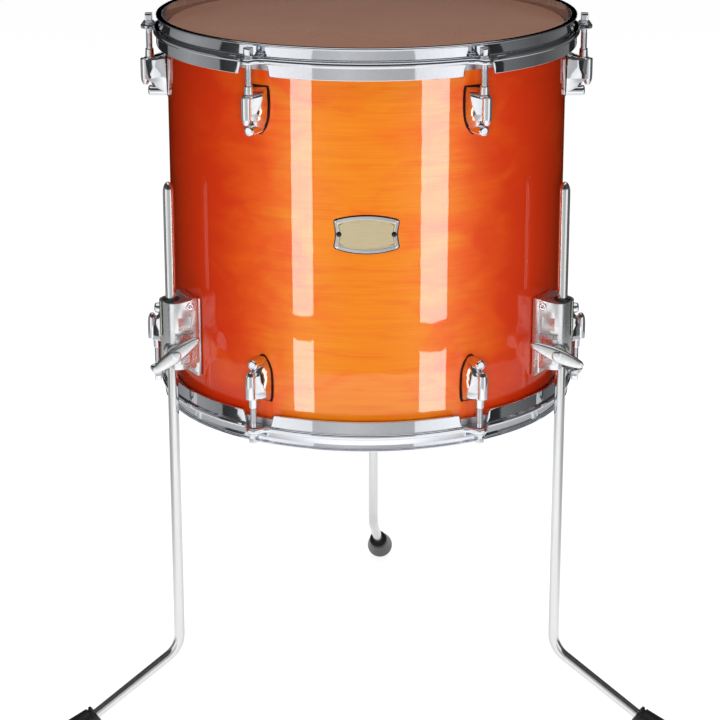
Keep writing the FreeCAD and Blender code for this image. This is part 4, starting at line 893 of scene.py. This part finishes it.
def makeBracket(side, polar):
    half, wide, plateHalf = bracket["halfWidth"], bracket["faceHalf"], bracket["plateHalf"]
    back, front, plateFront = bracket["back"], bracket["front"], bracket["plateFront"]
    curve = [(math.sqrt(bracket["plateBack"] ** 2 - t * t), t)
             for t in (-plateHalf, -12, -6, 0, 6, 12, plateHalf)]
    plateLine = curve + rounded([
        (plateFront, plateHalf, 1.8), (plateFront, -plateHalf, 1.8), curve[0]])[:-1]
    plate = carved("plate", slab("plate", plateLine, *bracket["plate"]), [
        blockOf("shelf", *bracket["shelf"])], 0.5)
    line = rounded([
        (back, -half), (195.0, -half, 3.0), (front, -3.0, 4.0), (front, wide - 6.0, 5.0),
        (front - 6.5, wide, 5.0), (back, wide)], 6)
    if side < 0:
        line = [Vector((p.x, -p.y)) for p in reversed(line)]
    solid = slab("block", line, bracket["bottom"], bracket["top"])
    for point in solid.vertices:
        if point.co.z > bracket["top"] - 1:
            point.co.z += bracket["topRise"] * (front - point.co.x) / (front - back)
    near, far = sorted((side * (wide - bracket["recessDepth"]), side * (wide + 3.0)))
    bore = turned("bore", [(0, -140), (bracket["bore"], -140), (bracket["bore"], -50), (0, -50)], 48)
    bore.transform(Matrix.Translation((bracket["legCircle"], 0, 0)))
    block = carved("block", solid, [
        blockOf("recess", bracket["recess"][0], (near, far), bracket["recess"][1]),
        blockOf("gap", bracket["gap"][0], (near - 1, far + 1), bracket["gap"][1]),
        blockOf("corner", *bracket["corner"]), blockOf("step", *bracket["step"]), bore], 0.7)
    boss = turned("boss", rounded(bracket["boss"]), 40)
    boss.transform(boltFrame(side))
    # raised pad round the wing bolt, with teeth where the clamp closes
    (footNear, footFar), (topNear, topFar) = bracket["pad"]
    low, high = side * (wide - 1), side * (wide + bracket["padRise"])
    pad = bevelled(slab("pad", [(footNear, low), (footFar, low), (topFar, high), (topNear, high)],
                        *bracket["padLevels"]), 1.1, 3)
    teeth = []
    bottom, top = bracket["toothLevels"]
    for k in range(bracket["teeth"]):
        x = footNear + bracket["toothPitch"] * k
        across = sorted((side * (wide - 1.5), side * (wide + 0.7 + 0.25 * (k % 2))))
        teeth.append(blockOf("tooth", (x, x + bracket["toothWidth"]), across,
                             (bottom - 0.5 * (k % 3), top)))
    return moved(merged("bracket", [plate, block, boss, pad] + teeth), placeAt(polar))


socketScrew = {
    "out": 187.8, "level": -68.2, "socket": 1.7,
    "head": [(0, -1.0), (3.4, -1.0), (3.4, 1.1, 0.5), (0, 1.1)],
}


def makeSocketScrew(side, polar):
    # pinch screw with a hexagon socket, on the flat face
    size = socketScrew["socket"]
    hexagon = [(size * math.cos(math.tau * k / 6), size * math.sin(math.tau * k / 6)) for k in range(6)]
    mesh = carved("screw", turned("head", rounded(socketScrew["head"]), 36), [
        slab("socket", hexagon, 0.0, 3.0)], 0.12)
    place = (socketScrew["out"], side * bracket["faceHalf"], socketScrew["level"])
    mesh.transform(Matrix.Translation(place) @ Matrix.Rotation(math.radians(-90 * side), 4, "X"))
    return moved(mesh, placeAt(polar))


jaw = {
    "start": (206.0, 3.0), "end": (195.0, 15.5), "out": (0.75, 0.66), "low": -98.0,
    "thick": 3.0, "bow": 1.1, "steps": 12,
}


def makeJaw(side, polar):
    # curved leaf, thickest in its middle
    start, end, out = (Vector((jaw[key][0], -side * jaw[key][1])) for key in ("start", "end", "out"))
    inner, outer = [], []
    for k in range(jaw["steps"] + 1):
        bow = math.sin(math.pi * k / jaw["steps"])
        inner.append(start.lerp(end, k / jaw["steps"]))
        outer.append(inner[-1] + out.normalized() * (
            jaw["thick"] * (0.55 + 0.45 * bow) + jaw["bow"] * bow))
    line = inner + outer[::-1]
    if side < 0:
        line.reverse()
    leaf = bevelled(slab("jaw", line, jaw["low"], bracket["top"]), 0.6, 2, 35)
    return moved(leaf, placeAt(polar))


for name, leg in legSides.items():
    addPiece("bracket_" + name, makeBracket(leg["side"], leg["polar"]), "drum", "chromed_zinc",
             [satinChrome], ["leg_bracket_" + name])
    addPiece("jaw_" + name, makeJaw(leg["side"], leg["polar"]), "drum", "chromed_steel",
             [zincPlate], ["clamp_jaw_" + name])
addPiece("socketScrews", merged("socketScrews", [
    makeSocketScrew(leg["side"], leg["polar"]) for leg in legSides.values()]), "drum",
         "plated_steel", [hoopChrome], ["socket_screws"])
print("brackets made")


# Wing bolts

wingBolt = {
    "core": [(0, 6.6), (3.0, 6.6, 0.3), (3.95, 7.6), (3.95, 18.6), (7.4, 18.6, 0.3), (7.4, 20.1, 0.4),
             (6.0, 20.3, 0.3), (6.0, 25.7, 2.2), (3.4, 28.1, 1.6), (0, 28.1)],
    # one blade, broad in its middle, with rounded tips and a squarish section
    "middle": 24.1, "halfSpan": 25.0, "broad": 12.6, "tip": 5.6, "tipRound": 3.4, "thick": 6.6,
    "thinning": 0.35, "roundness": 0.62, "steps": 28, "around": 24,
}


def makeWingBolt(side, polar, tilt):
    core = turned("core", rounded(wingBolt["core"], 5), 48)
    halfSpan, tip, tipRound = wingBolt["halfSpan"], wingBolt["tip"], wingBolt["tipRound"]
    rings = []
    for k in range(wingBolt["steps"] + 1):
        t = math.cos(math.pi * k / wingBolt["steps"])
        x = halfSpan * t
        past = max((abs(x) - halfSpan + tipRound) / tipRound, 0)
        shrink = math.sqrt(max(1 - past ** 2, 0.0))
        width = shrink * (tip + (wingBolt["broad"] - tip) * (1 - t * t) ** 1.2) / 2
        deep = shrink * wingBolt["thick"] / 2 * (1 - wingBolt["thinning"] * t * t)
        ring = []
        for j in range(wingBolt["around"]):
            c, s = (f(math.tau * j / wingBolt["around"]) for f in (math.cos, math.sin))
            ring.append((x, width * math.copysign(abs(c) ** wingBolt["roundness"], c),
                         wingBolt["middle"] + deep * math.copysign(abs(s) ** wingBolt["roundness"], s)))
        rings.append(ring)
    mesh = merged("wingBolt", [core, lofted("wings", rings, creaseAngle=60)])
    mesh.transform(boltFrame(side) @ Matrix.Rotation(math.radians(side * tilt), 4, "Z"))
    return moved(mesh, placeAt(polar))


for name, leg in legSides.items():
    addPiece("wingBolt_" + name, makeWingBolt(leg["side"], leg["polar"], leg["wingTilt"]),
             "wing_bolt_" + name, "chromed_steel", [satinChrome], ["wing_bolt_" + name])
print("wing bolts made")


# Legs and feet: the leg's axis is Z and the bend heads towards +X

legRod = {
    "radius": 4.75, "top": 42.0, "domeHeight": 9.0, "domeSteps": 8, "bendHeight": 85.0,
    "bendRadius": 25.0, "tilt": 57.0, "intoFoot": 4.0,  # the rod stops this short of the ball's middle
}
foot = {
    "radius": 13.35, "flat": 0.5, "inside": 0.03, "fromAngle": -8, "steps": 14,
    "neck": [(4.78, -36), (8.6, -36, 0.8), (9.2, -35, 0.5), (9.35, -33.1, 0.4), (7.9, -32.9, 0.4),
             (8.0, -31.2, 0.4), (9.7, -30.9, 0.5)],
    "socket": [(0, -16), (4.78, -16)],
}


def legPlace(leg):
    polar = math.radians(leg["polar"])
    out = bracket["legCircle"] * mm
    spot = drumMiddle + Vector((out * math.sin(polar), -out * math.cos(polar), 0))
    spin = Matrix.Rotation(math.radians(leg["heading"] - 90), 4, "Z")
    return Matrix.Translation(spot) @ spin @ Matrix.Scale(mm, 4)


tilt = math.radians(legRod["tilt"])
bendLevel = floorLevel + legRod["bendHeight"]
footLevel = floorLevel + foot["radius"] - foot["flat"]
runLength = (bendLevel - footLevel) / math.cos(tilt)
runFrame = (Matrix.Translation((runLength * math.sin(tilt), 0, footLevel))
            @ Matrix.Rotation(math.pi - tilt, 4, "Y"))


def makeLeg(leg):
    run = runLength - legRod["intoFoot"]
    radius, rise, steps = legRod["radius"], legRod["domeHeight"], legRod["domeSteps"]
    low = legRod["top"] - rise
    route = bpy.data.meshes.new("route")
    route.from_pydata([
        (0, 0, low), (0, 0, bendLevel), (run * math.sin(tilt), 0, bendLevel - run * math.cos(tilt))],
        [(0, 1), (1, 2)], [])
    tube = grown("leg", route, bentTube, {
        "Bend radius": legRod["bendRadius"], "Tube radius": radius, "Finish": legChrome})
    tube.materials.clear()
    line = [(0, low - 2), (radius - 0.02, low - 2)]
    for k in range(steps + 1):
        a = math.pi / 2 * k / steps
        line.append((radius * math.cos(a), low + rise * math.sin(a)))
    return moved(merged("leg", [creased(tube, 50), turned("dome", line, 40, 50)]), legPlace(leg))


def makeFoot(leg):
    ball = foot["radius"] - foot["inside"]
    line = rounded(foot["neck"])
    for k in range(foot["steps"] + 1):
        a = math.radians(foot["fromAngle"] + (90 - foot["fromAngle"]) * k / foot["steps"])
        line.append((max(ball * math.cos(a), 0), ball * math.sin(a)))
    mesh = turned("foot", line + foot["socket"], 56, 32)
    mesh.transform(runFrame)
    for point in mesh.vertices:
        point.co.z = max(point.co.z, floorLevel)
    return moved(mesh, legPlace(leg))


for name, leg in legSides.items():
    addPiece("legRod_" + name, makeLeg(leg), "leg_" + name, "leg_chrome", [legChrome], ["leg_" + name])
    addPiece("rubberFoot_" + name, makeFoot(leg), "leg_" + name, "black_rubber", [footRubber],
             ["foot_" + name])
print("legs made")


# Badge: plate with a raised border, a dark line inside it and a bare field, held by two pins

badge = {
    "width": 57.0, "height": 34.0, "sideHeight": 24.6, "waist": 2.1, "rise": 16.0, "pins": 46.2,
    "corner": 3.4, "field": 9,  # rings across the field
    # in from the edge, out from the shell, and material of the band that follows
    "bands": [(0.0, 0.02, 1), (0.0, 0.55, 1), (0.25, 0.72, 1), (0.85, 0.76, 0), (1.05, 0.9, 0),
              (3.2, 0.9, 0), (3.4, 0.76, 2), (4.6, 0.76, 1), (4.8, 0.70, 1), (5.0, 0.76, 2)],
}


def badgeEdge():
    across, up = badge["width"] / 2, badge["sideHeight"] / 2
    rise = badge["height"] / 2 - up
    ends, sides = 1 - badge["corner"] / across, 1 - badge["corner"] / up
    half = [ends * (k / 12 - 1) for k in range(25)]
    half = [(across * t, -up - rise * (1 - t * t)) for t in half]
    side = [sides * (k / 6 - 1) for k in range(13)]
    side = [(across - badge["waist"] * (1 - t * t), up * t) for t in side]
    line = []
    for sign in (1, -1):
        for start, end in ((half, side), (side, [(-x, -z) for x, z in half])):
            line += [(sign * x, sign * z) for x, z in start]
            a, b = Vector(start[-1]), Vector(end[0])
            corner = Vector((across, -up if start is half else up))
            for k in range(1, 6):
                t = k / 6
                point = a.lerp(corner, t).lerp(corner.lerp(b, t), t)
                line.append((sign * point.x, sign * point.y))
    return line


def makeBadge():
    edge = badgeEdge()
    halfWidth, halfHeight = badge["width"] / 2, badge["height"] / 2
    rings, kinds = [], []
    for inset, lift, kind in badge["bands"]:
        shrinkX, shrinkZ = 1 - inset / halfWidth, 1 - inset / (halfHeight - 2)
        rings.append([(x * shrinkX, z * shrinkZ, lift) for x, z in edge])
        kinds.append(kind)
    inset, lift, kind = badge["bands"][-1]
    for k in range(1, badge["field"] + 1):
        shrink = (1 - inset / halfWidth) * (1 - k / (badge["field"] + 0.5))
        rings.append([(x * shrink, z * shrink, lift) for x, z in edge])
        kinds.append(2)
    points, faces, slots = [], [], []
    count = len(edge)
    for ring in rings:
        for x, z, lift in ring:
            angle = x / shell["radius"]
            out = shell["radius"] + lift
            points.append((out * math.cos(angle), out * math.sin(angle), z + badge["rise"]))
    for j in range(len(rings) - 1):
        for i in range(count):
            k = (i + 1) % count
            faces.append((j * count + i, j * count + k, (j + 1) * count + k, (j + 1) * count + i))
            slots.append(kinds[j])
    faces.append(tuple(range(len(points) - count, len(points))))
    slots.append(2)
    mesh = bpy.data.meshes.new("badge")
    mesh.from_pydata(points, [], faces)
    for face, kind in zip(mesh.polygons, slots):
        face.material_index = kind
    return moved(creased(mesh, 30), placeAt(0))


def makePins():
    pins = []
    for side in (-1, 1):
        angle = side * badge["pins"] / 2 / shell["radius"]
        pin = turned("pin", rounded([
            (0, 0.5), (2.3, 0.5), (2.3, 1.05, 0.3), (1.3, 1.75, 0.9), (0, 1.85)], 6), 28)
        pin.transform(Matrix.Rotation(angle, 4, "Z") @ Matrix.Translation(
            (shell["radius"], 0, badge["rise"])) @ Matrix.Rotation(math.radians(90), 4, "Y"))
        pins.append(pin)
    return moved(merged("pins", pins), placeAt(0))


addPiece("badgePlate", makeBadge(), "drum", "badge_metal", [hoopChrome, enamel, champagne], ["badge"])
addPiece("badgePins", makePins(), "drum", "black_enamel", [enamel], ["badge_rivets"])
print("badge made")


# CAD nodes that stay get their own materials

for material, nodeNames in (
        (satinAlloy, ("flesh_hoop_top", "flesh_hoop_bottom")),
        (zincPlate, ("lug_screws", "bracket_screws", "shell_washers", "jaw_pins")),
        (padRubber, ("bracket_gaskets",)),
        (nylon, ("leg_bush_left", "leg_bush_right", "leg_bush_back"))):
    for nodeName in nodeNames:
        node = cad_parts[nodeName]
        node.data.materials.clear()
        node.data.materials.append(material)
        allButLacquer.objects.link(node)
print("kept nodes painted")
